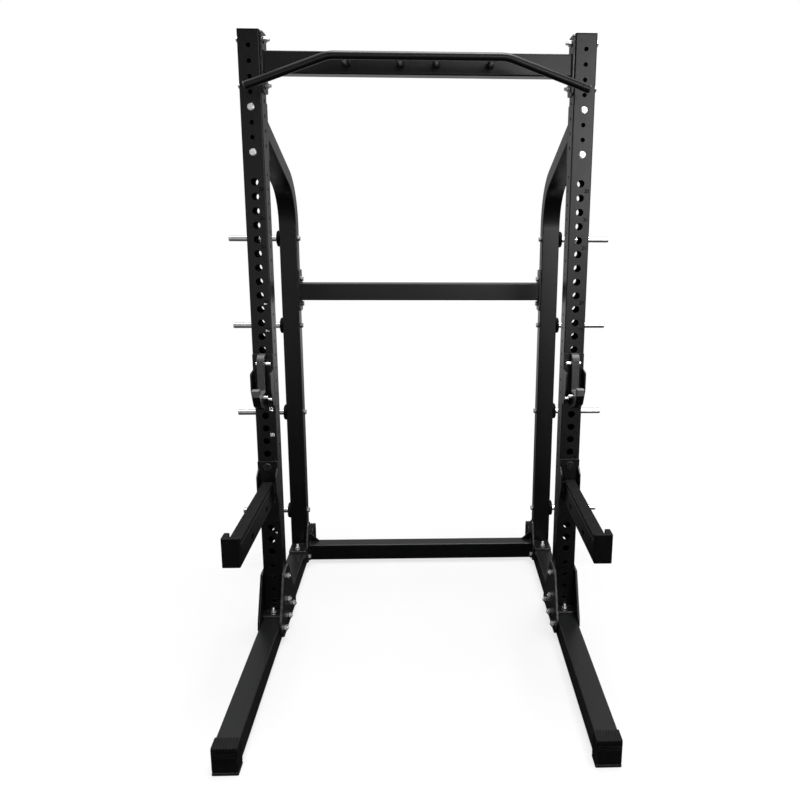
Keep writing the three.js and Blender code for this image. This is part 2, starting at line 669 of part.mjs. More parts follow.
function cupBracket(out) {
  const web = box([-POST_HALF, CUP_FRONT, CUP_LOW], [POST_HALF, CUP_BACK, CUP_TOP]);
  const cheeks = [-POST_HALF, POST_HALF - CUP_CHEEK].map((x) => sidePlate(CHEEK_OUTLINE, x, x + CUP_CHEEK));
  const hook = sidePlate(HOOK_OUTLINE, -HOOK_WIDTH / 2, HOOK_WIDTH / 2);
  const side = HOOK_WIDTH / 2;
  const across = (inner, outer, y, z, r) => {
    return rod([-out * (side + inner), -y, z], [out * (side + outer), -y, z], r, HOLE_SIDES);
  };
  const cheekInside = POST_HALF - WELD - side;
  const pin = rod([0, CUP_FRONT + WELD, 0], [0, PIN_LENGTH, 0], PIN_R, ROUND_SIDES);
  return join(
    web,
    ...cheeks,
    hook,
    across(CUP_UPPER_BOLT_INNER, CUP_UPPER_BOLT_OUTER, CUP_UPPER_BOLT_Y, CUP_UPPER_BOLT_Z, CUP_BOLT_R),
    across(CUP_LOWER_BOLT_INNER, CUP_LOWER_BOLT_OUTER, CUP_LOWER_BOLT_Y, CUP_LOWER_BOLT_Z, CUP_BOLT_R),
    across(cheekInside, cheekInside, CUP_ROD_Y, CUP_ROD_Z, CUP_ROD_R),
    pin,
  );
}

// The plastic lining follows the inside of the hook and folds over its nose
function cupLiner() {
  const back = -HOOK_REACH - SEAT_GAP;
  const floor = HOOK_FLOOR + SEAT_GAP;
  const noseInside = HOOK_NOSE_WALL - HOOK_NOSE + SEAT_GAP;
  const noseOutside = -HOOK_NOSE - SEAT_GAP;
  const noseTop = HOOK_NOSE_TOP + SEAT_GAP;
  const top = HOOK_TOP + SEAT_GAP;
  const corners = [
    [CUP_FRONT - SEAT_GAP, top],
    [CUP_FRONT - SEAT_GAP, top + LINER],
    [back + LINER - WELD, top + LINER, LINER],
    [back - LINER, top - LINER, LINER],
    [back - LINER, floor + LINER, LINER],
    [noseInside + LINER, floor + LINER, LINER],
    [noseInside + LINER, noseTop + LINER, LINER / 2],
    [noseOutside - LINER, noseTop + LINER, LINER / 2],
    [noseOutside - LINER, LIP_BLOCK_LOW],
    [noseOutside, LIP_BLOCK_LOW],
    [noseOutside, noseTop],
    [noseInside, noseTop],
    [noseInside, floor, LINER],
    [back, floor, LINER],
    [back, top - LINER],
    [back + LINER, top],
  ];
  return sidePlate(corners, -LINER_WIDTH / 2, LINER_WIDTH / 2);
}

// Spotter arm: the upper pin's hole is at Z = 0
const BRACKET_FRONT = -SEAT_GAP - BRACKET;

const EAR_OUTLINE = [
  [BRACKET_FRONT + WELD, EAR_TOP],
  [-EAR_REACH, EAR_HIGH, EAR],
  [-EAR_REACH, EAR_LOW, EAR],
  [BRACKET_FRONT + WELD, EAR_TOE],
];

function spotterArm(out) {
  const plate = box([-POST_HALF, BRACKET_FRONT, BRACKET_LOW], [POST_HALF, -SEAT_GAP, BRACKET_TOP]);
  const middle = SPOTTER_TOP - SPOTTER_HEIGHT / 2;
  const path = [point(0, -SPOTTER_REACH, middle), point(0, BRACKET_FRONT + WELD, middle)];
  const beam = tube(SPOTTER_WIDTH, SPOTTER_HEIGHT, SPOTTER_CORNER, path, X_AXIS);
  const ears = [-POST_HALF, POST_HALF - EAR].map((x) => sidePlate(EAR_OUTLINE, x, x + EAR));
  const boss = rod([0, BRACKET_FRONT - BOSS, 0], [0, BRACKET_FRONT + WELD, 0], BOSS_R, ROUND_SIDES);
  const lower = holeHeight(ARM_LOWER_HOLE_NUMBER) - holeHeight(ARM_UPPER_HOLE_NUMBER);
  const pins = [0, lower].map((z) => {
    return rod([0, BRACKET_FRONT + WELD, z], [0, PIN_LENGTH, z], PIN_R, ROUND_SIDES);
  });
  const inner = -out * SPOTTER_WIDTH;
  const slots = SLOT_PLACES.map((y) => {
    const low = [Math.min(0, inner), -y - SLOT_WIDTH / 2, SLOT_Z - SLOT_HEIGHT / 2];
    return box(low, [Math.max(0, inner), -y + SLOT_WIDTH / 2, SLOT_Z + SLOT_HEIGHT / 2]);
  });
  return join(plate, cut(beam, ...slots), ...ears, boss, ...pins);
}

// The plastic strip on top of the arm, rounded down at its rear end
function spotterStrip() {
  const low = SPOTTER_TOP + SEAT_GAP;
  const rear = -STRIP_START;
  const front = -SPOTTER_REACH;
  const corners = [[rear, low], [rear, low + STRIP, STRIP / 2], [front, low + STRIP], [front, low]];
  return sidePlate(corners, -SPOTTER_WIDTH / 2, SPOTTER_WIDTH / 2);
}

// The plastic block stands in front of the arm's end and runs back along its outer side
function spotterBlock(out) {
  const inner = -SPOTTER_WIDTH / 2;
  const wingStart = SPOTTER_WIDTH / 2 + SEAT_GAP;
  const outer = wingStart + BLOCK_WING_THICK;
  const rear = -SPOTTER_REACH - SEAT_GAP;
  const face = (left, right, margin, radius) => {
    const corners = rectangle(left, right, BLOCK_LOW - margin, BLOCK_TOP + margin, radius);
    return out > 0 ? corners : corners.map(([x, z]) => [-x, z, radius]).reverse();
  };
  const body = facePlate(face(inner, outer, 0, BLOCK_CORNER), rear - BLOCK, BLOCK + BLOCK_WING);
  const room = facePlate(face(inner - OVERRUN, wingStart, OVERRUN, 0), rear, BLOCK_WING + OVERRUN);
  return cut(body, room);
}

// Crossmembers are built about the middle of the rack

// A straight tube across the rack, welded to a plate at each end
function crossmember(front, middleZ, plates) {
  const middle = front + BEAM_DEPTH / 2;
  const end = MEMBER_END - END_PLATE + WELD;
  const path = [point(-end, middle, middleZ), point(end, middle, middleZ)];
  const beam = tube(BEAM_DEPTH, BEAM_HEIGHT, BEAM_CORNER, path, Y_AXIS);
  const vents = [-1, 1].map((side) => {
    const near = side * (end - OVERRUN);
    return rod([near, middle, middleZ], [side * INNER_X, middle, middleZ], VENT_R);
  });
  return cut(join(beam, ...plates), ...vents);
}

function endPlates(corners) {
  return [-1, 1].map((side) => sidePlate(corners, side * (MEMBER_END - END_PLATE), side * MEMBER_END));
}

function rectangle(yLow, yHigh, zLow, zHigh, radius) {
  return [[yLow, zLow, radius], [yHigh, zLow, radius], [yHigh, zHigh, radius], [yLow, zHigh, radius]];
}

function topBeam() {
  const low = BEAM_BOLT_LOW - BEAM_PLATE_EDGE;
  const high = BEAM_BOLT_HIGH + BEAM_PLATE_EDGE;
  const plates = endPlates(rectangle(POST_SIZE - BEAM_PLATE_WIDTH, POST_SIZE, low, high, PLATE_CORNER));
  const holes = [BEAM_BOLT_LOW, BEAM_BOLT_HIGH].map((z) => holeAcross(POST_MIDDLE, z, BOLT_HOLE_R, SIDE_X));
  return cut(crossmember(BEAM_FRONT, BEAM_Z, plates), ...holes);
}

// A bolt welded to an end plate's inner face, which ends inside the tube that it holds
function plateBolt(side, y, z) {
  const at = (x) => [side * x, y, z];
  const face = MEMBER_END - END_PLATE;
  return join(
    rod(at(face - WASHER), at(face + WELD), WASHER_R),
    rod(at(face - WASHER - BOLT_HEAD), at(face - WASHER), BOLT_HEAD_R, HEX_SIDES),
    rod(at(face - WASHER - BOLT_HEAD - BOLT_STUD), at(INNER_X + WASHER_R), BOLT_R, HEX_SIDES),
  );
}

function plateBolts(places) {
  return [-1, 1].flatMap((side) => places.map(([y, z]) => plateBolt(side, y, z)));
}

function midCrossmember() {
  const back = REAR_MIDDLE + MID_PLATE_WIDTH / 2;
  const front = REAR_MIDDLE - MID_PLATE_WIDTH / 2;
  const low = MID_Z - MID_PLATE_DROP;
  const high = MID_Z + MID_PLATE_RISE;
  const plates = endPlates(rectangle(front, back, low, high, PLATE_CORNER));
  const bolts = plateBolts([[REAR_MIDDLE, MID_BOLT_LOW], [REAR_MIDDLE, MID_BOLT_HIGH]]);
  return join(crossmember(REAR_FRONT, MID_Z, plates), ...bolts);
}

function baseCrossmember() {
  const corners = [
    [BASE_PLATE_FRONT, BASE_PLATE_LOW, BASE_PLATE_ROUND],
    [BASE_PLATE_BACK, BASE_PLATE_LOW, BASE_PLATE_ROUND],
    [BASE_PLATE_BACK, BASE_PLATE_BACK_TOP, BASE_PLATE_ROUND],
    [BASE_PLATE_HEAD_BACK, BASE_PLATE_TOP, BASE_PLATE_ROUND],
    [REAR_FRONT, BASE_PLATE_TOP, BASE_PLATE_ROUND],
    [BASE_PLATE_FRONT, BASE_PLATE_SHOULDER, BASE_PLATE_ROUND],
  ];
  const bolts = plateBolts([[BASE_BOLT_FRONT, BASE_BOLT_Z], [BASE_BOLT_BACK, BASE_BOLT_Z]]);
  const plateFace = MEMBER_END - END_PLATE + WELD;
  const webs = [-1, 1].map((side) => {
    const top = FOOT_TOP + WEB_HEIGHT;
    const toe = side * (plateFace - WEB_LENGTH);
    const web = [[side * plateFace, FOOT_TOP - WELD], [side * plateFace, top], [toe, FOOT_TOP - WELD]];
    return facePlate(side > 0 ? web : web.reverse(), WEB_Y, WEB_THICK);
  });
  const beam = crossmember(REAR_FRONT, FOOT_LIFT + BEAM_HEIGHT / 2, endPlates(corners));
  return join(beam, ...webs, ...bolts);
}

function circle(radius, sides) {
  const shape = new THREE.Shape();
  for (let i = 0; i < sides; i += 1) {
    const angle = (2 * Math.PI * i) / sides;
    const place = [radius * Math.cos(angle), radius * Math.sin(angle)];
    if (i === 0) shape.moveTo(...place);
    else shape.lineTo(...place);
  }
  shape.closePath();
  return shape;
}

function barPath() {
  const corners = [
    point(-BAR_END_X, BAR_Y, BAR_Z - BAR_DROP),
    point(-BAR_STRAIGHT, BAR_Y, BAR_Z),
    point(BAR_STRAIGHT, BAR_Y, BAR_Z),
    point(BAR_END_X, BAR_Y, BAR_Z - BAR_DROP),
  ];
  return bentPath(corners, BAR_BEND_R, BAR_BEND_STEPS);
}

// The bar with the four stubs that hold it in front of the top beam
function pullUpBar() {
  const path = barPath();
  const bar = sweep(circle(BAR_R, ROUND_SIDES), path, Y_AXIS);
  const face = BEAM_FRONT - SEAT_GAP;
  const places = [-STANDOFF_OUTER_X, -STANDOFF_INNER_X, STANDOFF_INNER_X, STANDOFF_OUTER_X];
  const stubs = places.flatMap((x) => [
    rod([x, BAR_Y, BAR_Z], [x, face, BAR_Z], STANDOFF_R, HOLE_SIDES),
    rod([x, face - WELD_RING, BAR_Z], [x, face, BAR_Z], WELD_RING_R, HOLE_SIDES),
  ]);
  const bore = sweep(circle(BAR_R - WALL, HOLE_SIDES), lengthened(path, OVERRUN), Y_AXIS);
  return cut(join(bar, ...stubs), bore);
}

function barCap(side) {
  const slope = Math.atan2(BAR_DROP, BAR_END_X - BAR_STRAIGHT);
  const way = point(side * Math.cos(slope), 0, -Math.sin(slope));
  const end = point(side * BAR_END_X, BAR_Y, BAR_Z - BAR_DROP);
  const at = (distance) => end.clone().addScaledVector(way, distance).toArray();
  return join(
    rod(at(SEAT_GAP), at(SEAT_GAP + END_CAP), BAR_R, ROUND_SIDES),
    rod(at(-END_CAP_PLUG), at(SEAT_GAP + WELD), BAR_R - WALL - WELD, HOLE_SIDES),
  );
}

function sideGroup(out, label) {
  const group = new THREE.Group();
  group.position.x = out * SIDE_X;
  const add = (name, shape, material) => {
    const mesh = named(`${name}_${label}`, shape, material);
    group.add(mesh);
    return mesh;
  };
  add('front_upright', frontUpright(), BLACK_PAINT);
  add('upright_cap', uprightCap(), BLACK_PLASTIC);
  add('foot', foot(), BLACK_PAINT);
  add('foot_cap_front', footCap(-1), GREY_RUBBER);
  add('foot_cap_rear', footCap(1), GREY_RUBBER);
  add('rear_upright', cut(rearUpright(), ...innerBoltHoles(out)), BLACK_PAINT);
  add('base_gusset_inner', innerGusset(out), BLACK_PAINT);
  add('base_gusset_outer', outerGusset(out), BLACK_PAINT);
  add('base_bolt_front', baseBolt(FRONT_BASE_BOLT_Y), ZINC);
  add('base_bolt_rear', baseBolt(REAR_BASE_BOLT_Y), ZINC);
  add('arm_bolt_low', armBolt(ARM_BOLT_LOW), ZINC);
  add('arm_bolt_high', armBolt(ARM_BOLT_HIGH), ZINC);
  add('beam_bolt_low', beamBolt(out, BEAM_BOLT_LOW), ZINC);
  add('beam_bolt_high', beamBolt(out, BEAM_BOLT_HIGH), ZINC);
  PEG_HEIGHTS.forEach((z, i) => {
    add(`storage_peg_${i + 1}`, storagePeg(out, z), CHROME);
    add(`peg_disc_${i + 1}`, pegDisc(out, z), BLACK_PLASTIC);
  });
  const cupHeight = holeHeight(CUP_HOLE_NUMBER);
  add('j_cup_bracket', cupBracket(out), BLACK_PAINT).position.z = cupHeight;
  add('j_cup_liner', cupLiner(), GREY_PLASTIC).position.z = cupHeight;
  const armHeight = holeHeight(ARM_UPPER_HOLE_NUMBER);
  add('spotter_arm', spotterArm(out), BLACK_PAINT).position.z = armHeight;
  add('spotter_strip', spotterStrip(), BLACK_PLASTIC).position.z = armHeight;
  add('spotter_block', spotterBlock(out), BLACK_PLASTIC).position.z = armHeight;
  return group;
}

const rack = new THREE.Group();
rack.position.y = -POST_MIDDLE;
rack.add(sideGroup(-1, 'left'), sideGroup(1, 'right'));
rack.add(named('top_beam', topBeam(), BLACK_PAINT));
rack.add(named('mid_crossmember', midCrossmember(), BLACK_PAINT));
rack.add(named('base_crossmember', baseCrossmember(), BLACK_PAINT));
rack.add(named('pull_up_bar', pullUpBar(), BLACK_PAINT));
rack.add(named('bar_cap_left', barCap(-1), GREY_PLASTIC));
rack.add(named('bar_cap_right', barCap(1), GREY_PLASTIC));
rack.updateMatrixWorld(true);

export default rack;
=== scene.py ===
# %% [markdown]
# # A half rack, from bare solids to a painted steel frame
# The rack arrives from CAD as a fixed frame of plain, faceted solids. This lesson dresses it.
# Tubes get their rounded corners, drilled holes and cut numbers, plates get softened edges, bolts
# get washers and threads, and every surface gets a finish made of nodes. Nothing moves: each new
# piece is made where its solid is, inside the same sizes, and rides on the same body.

import math

import bmesh
import bpy
from mathutils import Matrix, Vector


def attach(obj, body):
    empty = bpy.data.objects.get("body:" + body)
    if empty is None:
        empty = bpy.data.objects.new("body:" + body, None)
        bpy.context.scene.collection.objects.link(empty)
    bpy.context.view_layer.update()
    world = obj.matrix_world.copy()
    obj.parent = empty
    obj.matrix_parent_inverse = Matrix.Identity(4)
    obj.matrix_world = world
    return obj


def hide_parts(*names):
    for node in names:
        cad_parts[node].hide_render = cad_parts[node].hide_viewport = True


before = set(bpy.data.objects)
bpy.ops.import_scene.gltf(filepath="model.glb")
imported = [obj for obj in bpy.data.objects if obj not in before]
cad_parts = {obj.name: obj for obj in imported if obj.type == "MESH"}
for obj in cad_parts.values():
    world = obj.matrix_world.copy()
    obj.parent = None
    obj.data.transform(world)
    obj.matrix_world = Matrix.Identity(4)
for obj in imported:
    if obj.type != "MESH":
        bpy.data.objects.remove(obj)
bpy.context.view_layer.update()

# %% [markdown]
# ## One small language for nodes
# Materials and Geometry Nodes are both node trees. A tree is easy to read when a node is one call
# that says its type, its settings and what feeds its sockets, and when arithmetic is written as
# arithmetic. So a tree is wrapped once, and a number that varies over a surface is wrapped once.

# %% Nodes in one call
class Graph:
    """A node tree that is filled by one method."""

    def __init__(self, tree):
        self.tree = tree

    def add(self, kind, settings=None, sockets=None):
        node = self.tree.nodes.new(kind)
        for name, value in (settings or {}).items():
            if name == "stops":
                set_stops(node.color_ramp, value)
            else:
                setattr(node, name, value)
        for name, value in (sockets or {}).items():
            self.feed(node.inputs[name], value)
        return node

    def feed(self, socket, value):
        value = getattr(value, "socket", value)
        if isinstance(value, bpy.types.NodeSocket):
            self.tree.links.new(value, socket)
        else:
            socket.default_value = value


def set_stops(ramp, stops):
    """Stops are (place, grey level) pairs."""
    for element, (place, level) in zip(ramp.elements, stops):
        element.position = place
        element.color = (level, level, level, 1)


def fresh_graph(owner):
    """The node tree of a new material or world, without the nodes it starts with."""
    owner.use_nodes = True
    owner.node_tree.nodes.clear()
    return Graph(owner.node_tree)


# %% Arithmetic on surfaces
class Amount:
    """A number that varies over a surface. An expression with it adds the Math nodes."""

    def __init__(self, graph, socket):
        self.graph = graph
        self.socket = socket

    def math(self, operation, first, second):
        node = self.graph.add("ShaderNodeMath", {"operation": operation}, {0: first, 1: second})
        return Amount(self.graph, node.outputs[0])

    def __add__(self, other):
        return self.math("ADD", self, other)

    def __mul__(self, other):
        return self.math("MULTIPLY", self, other)

    def __sub__(self, other):
        return self.math("SUBTRACT", self, other)

    def __rsub__(self, other):
        return self.math("SUBTRACT", other, self)

    __radd__ = __add__
    __rmul__ = __mul__

    def __abs__(self):
        return self.math("ABSOLUTE", self, 0)

    def at_least(self, least):
        return self.math("MAXIMUM", self, least)

    def is_below(self, limit):
        return self.math("LESS_THAN", self, limit)


# %% [markdown]
# ## Finishes
# The real rack has six finishes: black powder coat on the steel, bright zinc on the bolts, chrome
# on the storage pegs, black and grey moulded plastic, and a soft sole under the feet. Each could
# be one colour with one roughness, but what the eye reads as paint or plastic is the small change
# of both over the surface. All patterns use Object coordinates, so they stay put as parts move.

# %% What the finishes share
def new_finish(name, sockets):
    """A material with one Principled shader, its graph, and the shader."""
    material = bpy.data.materials.new(name)
    graph = fresh_graph(material)
    shader = graph.add("ShaderNodeBsdfPrincipled", sockets=sockets)
    graph.add("ShaderNodeOutputMaterial", sockets={"Surface": shader.outputs["BSDF"]})
    return material, graph, shader


def pattern(graph, scale, detail=2, stretch=(1, 1, 1)):
    """Noise with features of about 1 / scale metres, from 0 to 1."""
    place = graph.add("ShaderNodeTexCoord").outputs["Object"]
    mapped = graph.add("ShaderNodeMapping", sockets={"Vector": place, "Scale": stretch})
    noise = graph.add("ShaderNodeTexNoise", sockets={
        "Vector": mapped.outputs["Vector"], "Scale": scale, "Detail": detail})
    return Amount(graph, noise.outputs["Fac"])


def ramp(graph, amount, stops):
    """The amount read off a ramp of grey levels."""
    node = graph.add("ShaderNodeValToRGB", {"stops": stops}, {"Fac": amount})
    return Amount(graph, node.outputs["Color"])


# Where a Mix node has its sockets for colours, which share their names with those for numbers
MIX_FIRST = 6
MIX_SECOND = 7
MIX_RESULT = 2


def blend_colours(graph, factor, first, second):
    node = graph.add("ShaderNodeMix", {"data_type": "RGBA"}, {"Factor": factor})
    for place, colour in ((MIX_FIRST, first), (MIX_SECOND, second)):
        graph.feed(node.inputs[place], (*colour, 1) if isinstance(colour, tuple) else colour)
    return node.outputs[MIX_RESULT]


def edge_mark(graph):
    """The value written on faces: 1 on a rounded edge, other values on faces with painted highlight and
    painted shade, -1 inside a hole.
    """
    mark = graph.add("ShaderNodeAttribute", {"attribute_name": "edge"})
    return Amount(graph, mark.outputs["Fac"])


def bump(graph, height, depth):
    """Relief with this depth in metres."""
    node = graph.add("ShaderNodeBump", sockets={"Height": height, "Distance": depth, "Strength": 1})
    return node.outputs["Normal"]


# %% [markdown]
# ### Powder coat
# Powder is sprayed on dry and baked, so it dries with a fine, even pebble, like the skin of an
# orange at a tenth of the size. It pulls thin over edges and rubs bright there first. The pebble
# is noise in the Bump node. The rubbed edges come from a face attribute that is written where the
# edges are rounded, broken up with noise so that they don't look drawn. Besides the rubbing, every
# rounded edge is painted a little paler all along, a painted highlight, and smaller values of the
# attribute paint plate rims, the spotter arms' boss and their welds paler too, as painted highlight.
# Inside the drilled holes the attribute is -1: little light gets in there, so the paint is matt and
# mirrors nothing, and its colour loses the pale cloud and specks, a little painted shade.

# %% Black powder coat
def powder_coat(name, colour, rubbed_and_highlight):
    material, graph, shader = new_finish(name, {"Specular IOR Level": 0.25})
    cloud = pattern(graph, 5, 3)
    pebble = pattern(graph, 620, 2)
    speck = ramp(graph, pattern(graph, 1500, 1), ((0.6, 0), (0.78, 1)))
    edge = edge_mark(graph)
    rubbing = ramp(graph, pattern(graph, 70, 3), ((0.42, 0), (0.62, 1)))
    wear_and_highlight = rubbing * edge.at_least(0)
    inside = edge.is_below(-0.5)
    # The even edge * 0.3 paints every marked face paler, a painted highlight; the rubbing is partly
    # wear and partly painted highlight; in a hole the -1 takes the lift away, a little painted shade
    lift = wear_and_highlight * 0.4 + edge * 0.3 + cloud * 0.02 + speck * 0.03
    graph.feed(shader.inputs["Base Color"], blend_colours(graph, lift, colour, rubbed_and_highlight))
    graph.feed(shader.inputs["Roughness"], 0.25 + cloud * 0.12 - wear_and_highlight * 0.08 + inside * 0.6)
    graph.feed(shader.inputs["Normal"], bump(graph, pebble + speck * 0.3, 0.00008))
    return material


# The second colour is that of rubbed edges and of the painted highlight on marked faces
black_paint = powder_coat("black powder coat", (0.0055, 0.0057, 0.006), (0.2, 0.201, 0.205))

# %% [markdown]
# ### Zinc and chrome
# Both are bare metal, so they are all reflection. Zinc plating on bolts is pale and slightly
# cloudy, with a faint blue and straw tint, and a marked face, such as a washer's, is painted darker,
# a painted shade round each head. Chrome on the pegs is brighter and smoother, and plates slid on
# and off leave fine scratches along the peg. They are noise that is squeezed across the peg and
# stretched along it.

# %% Zinc
def zinc_plate():
    material, graph, shader = new_finish("bright zinc", {"Metallic": 1.0})
    cloud = pattern(graph, 90, 3)
    tint = blend_colours(graph, cloud, (0.62, 0.64, 0.68), (0.78, 0.76, 0.7))
    # Marked faces, the washers, are painted darker: painted shade round the heads
    painted_shade = blend_colours(graph, edge_mark(graph), tint, (0.24, 0.24, 0.235))
    graph.feed(shader.inputs["Base Color"], painted_shade)
    graph.feed(shader.inputs["Roughness"], 0.24 + pattern(graph, 240, 2) * 0.22)
    graph.feed(shader.inputs["Normal"], bump(graph, pattern(graph, 900, 1), 0.00004))
    return material


zinc = zinc_plate()

# %% Chrome
def chrome_plate():
    material, graph, shader = new_finish("chrome", {"Metallic": 1.0})
    scratch = ramp(graph, pattern(graph, 60, 4, (0.3, 12, 12)), ((0.5, 0), (0.72, 1)))
    cloud = pattern(graph, 25, 2)
    dull = scratch * 0.7 + cloud * 0.2
    tint = blend_colours(graph, dull, (0.66, 0.67, 0.68), (0.42, 0.42, 0.43))
    graph.feed(shader.inputs["Base Color"], tint)
    graph.feed(shader.inputs["Roughness"], 0.12 + scratch * 0.2 + cloud * 0.08)
    graph.feed(shader.inputs["Normal"], bump(graph, scratch, 0.00003))
    return material


chrome = chrome_plate()

# %% [markdown]
# ### Plastics and the sole
# Moulded plastic carries a fine grain from its mould, and a bar that lands on it leaves pale
# scuffs. Rounded edges and other marked faces are painted paler towards the scuff colour, a painted
# highlight. One recipe makes the caps, the liners and the sole: only the colour, the gloss and the
# amount of scuffing differ.

# %% Moulded plastic
def moulded(name, colour, scuffed_and_highlight, roughness, scuffs, shine):
    """The second colour is that of a scuff and of the painted highlight on marked faces, `scuffs` how
    far scuffs go to it, `shine` the gloss.
    """
    material, graph, shader = new_finish(name, {"Specular IOR Level": shine})
    grain = pattern(graph, 1300, 1)
    rub = ramp(graph, pattern(graph, 45, 4, (1, 1, 4)), ((0.52, 0), (0.75, 1)))
    cloud = pattern(graph, 9, 2)
    edge = edge_mark(graph)
    # Marked faces, the rounded edges, go 0.4 of the way to the scuff colour: a painted highlight
    tint = blend_colours(graph, rub * scuffs + cloud * 0.15 + edge * 0.4, colour, scuffed_and_highlight)
    graph.feed(shader.inputs["Base Color"], tint)
    graph.feed(shader.inputs["Roughness"], roughness + rub * 0.1 + cloud * 0.08)
    graph.feed(shader.inputs["Normal"], bump(graph, grain, 0.00008))
    return material


black_plastic = moulded("black plastic", (0.009, 0.009, 0.0095), (0.045, 0.045, 0.046),
                        roughness=0.7, scuffs=0.2, shine=0.05)
grey_plastic = moulded("grey liner plastic", (0.1, 0.102, 0.107), (0.36, 0.36, 0.36),
                       roughness=0.36, scuffs=0.2, shine=0.4)
sole_rubber = moulded("sole rubber", (0.03, 0.029, 0.027), (0.08, 0.077, 0.073),
                      roughness=0.7, scuffs=0.5, shine=0.05)
FINISHES = {"black_paint": black_paint, "zinc": zinc, "chrome": chrome,
            "black_plastic": black_plastic, "grey_plastic": grey_plastic, "sole_rubber": sole_rubber}
print("finishes:", [material.name for material in FINISHES.values()])

# %% [markdown]
# ## From millimetres to the frame
# The drawing of the rack is in millimetres, with Y counted from the front faces of the uprights,
# and each side is drawn about its own centre line. Blender's frame is in metres, with Y = 0 under
# the uprights' middle. Working in the drawing's numbers keeps them readable, so one function at
# the end does the change, and the piece's object stays at the origin.

# %% Main sizes
SIDE_X = 574
POST = 75
HALF = POST / 2
WALL = 3
POST_CORNER = 5
POST_TOP = 2248
GAP = 0.3
FOOT_LIFT = 15
FOOT_TOP = FOOT_LIFT + POST
BASE_PLATE = 8
BASE_LOW = FOOT_TOP + GAP
BASE_TOP = BASE_LOW + BASE_PLATE
HOLE_STEP = 50
FIRST_PIN = 350
TOP_ROW = FIRST_PIN + 30 * HOLE_STEP
CUT_PAST = 10
MILLIMETRE = 0.001
SIDES = {"left": -1, "right": 1}
ACROSS = Vector((1, 0, 0))
BACKWARDS = Vector((0, 1, 0))
UP = Vector((0, 0, 1))

# %% A finished piece
# Edge values besides the 1 of a rounded edge: a plate's rim, painted paler as a painted highlight, and
# the inside of a hole
RIM_HIGHLIGHT = 0.8
IN_HOLE = -1.0


def new_shape(mesh=None):
    """An empty mesh under construction, with a face value that marks rounded edges."""
    bm = bmesh.new()
    if mesh:
        bm.from_mesh(mesh)
    if not bm.faces.layers.float.get("edge"):
        bm.faces.layers.float.new("edge")
    return bm


def mark(bm, value, chosen=None):
    """Writes the edge value on faces, all of them unless they are named."""
    layer = bm.faces.layers.float["edge"]
    for face in bm.faces if chosen is None else chosen:
        face[layer] = value


def to_mesh(bm):
    mesh = bpy.data.meshes.new("shape")
    bm.to_mesh(mesh)
    bm.free()
    return mesh


def evaluated(thing):
    """The mesh of an object with its modifiers done."""
    graph = bpy.context.evaluated_depsgraph_get()
    return bpy.data.meshes.new_from_object(
        thing.evaluated_get(graph), preserve_all_data_layers=True, depsgraph=graph)


def in_scene(data, name="temporary"):
    """Puts an object with this mesh, curve, lamp or camera in the scene."""
    thing = bpy.data.objects.new(name, data)
    bpy.context.scene.collection.objects.link(thing)
    return thing


def settle(name, shape, slot, body="rack", nodes=(), side=0, lift=0, smooth=32):
    """Moves a shape from the drawing into the frame and makes it a piece that rides on a body."""
    mesh = to_mesh(shape) if isinstance(shape, bmesh.types.BMesh) else shape
    place = Matrix.Translation((side * SIDE_X, -HALF, lift))
    mesh.transform(Matrix.Scale(MILLIMETRE, 4) @ place)
    mesh.polygons.foreach_set("use_smooth", [True] * len(mesh.polygons))
    mesh.set_sharp_from_angle(angle=math.radians(smooth))
    mesh.materials.clear()
    mesh.materials.append(FINISHES[slot])
    piece = in_scene(mesh, name)
    piece.modifiers.new("even shading", "WEIGHTED_NORMAL").keep_sharp = True
    piece.data = evaluated(piece)
    piece.modifiers.clear()
    piece.data.name = name
    bpy.data.meshes.remove(mesh)
    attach(piece, body)
    if nodes:
        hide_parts(*nodes)
    print(f"{name}: {len(piece.data.polygons)} faces")


# %% [markdown]
# ## Plates, tubes and turned parts
# A rack is made in three ways: plates are cut from sheet, tubes are cut or bent from stock, and
# bolts and pegs are turned. The same three helpers make almost every piece here. A plate is an
# outline that is given a thickness, and its rim is rounded off with a small bevel, because a
# painted edge is never sharp and the thin light line along it is what shows the plate's shape.
# The bevel's faces are also marked, which paints them paler: a painted highlight along that line.

# %% Outlines and plates
ARC_STEPS = 6
BEVEL_STEPS = 2
SHARP_EDGE = math.radians(35)


def outline(corners):
    """Corner points (x, y, radius) as a closed line. A radius that isn't given is 0."""
    points = []
    for i, (x, y, *radius) in enumerate(corners):
        here = Vector((x, y))
        before = Vector(corners[i - 1][:2]) - here
        after = Vector(corners[(i + 1) % len(corners)][:2]) - here
        reach = min(radius[0] if radius else 0, 0.48 * before.length, 0.48 * after.length)
        if reach <= 0:
            points.append(here)
            continue
        start = here + before.normalized() * reach
        end = here + after.normalized() * reach
        for step in range(ARC_STEPS + 1):
            t = step / ARC_STEPS
            points.append(start * (1 - t) ** 2 + here * (2 * t * (1 - t)) + end * t ** 2)
    return points


def rectangle(left, right, low, high, radius):
    return [(left, low, radius), (right, low, radius), (right, high, radius), (left, high, radius)]


def soften(bm, faces, width):
    """Rounds off the sharp edges of these faces."""
    edges = {edge for face in faces for edge in face.edges}
    sharp = [edge for edge in edges if edge.calc_face_angle(0) > SHARP_EDGE]
    made = bmesh.ops.bevel(bm, geom=sharp, offset=width, segments=BEVEL_STEPS, profile=0.5,
                           affect="EDGES", clamp_overlap=True)
    # The bevel's faces are marked, which paints them paler: partly rubbed wear, partly painted
    # highlight
    mark(bm, 1, made["faces"])


# How an outline's own two directions and its thickness lie in the frame
def standing_across(u, v, w):
    return Vector((w, u, v))


def facing(u, v, w):
    return Vector((u, w, v))


def lying(u, v, w):
    return Vector((u, v, w))


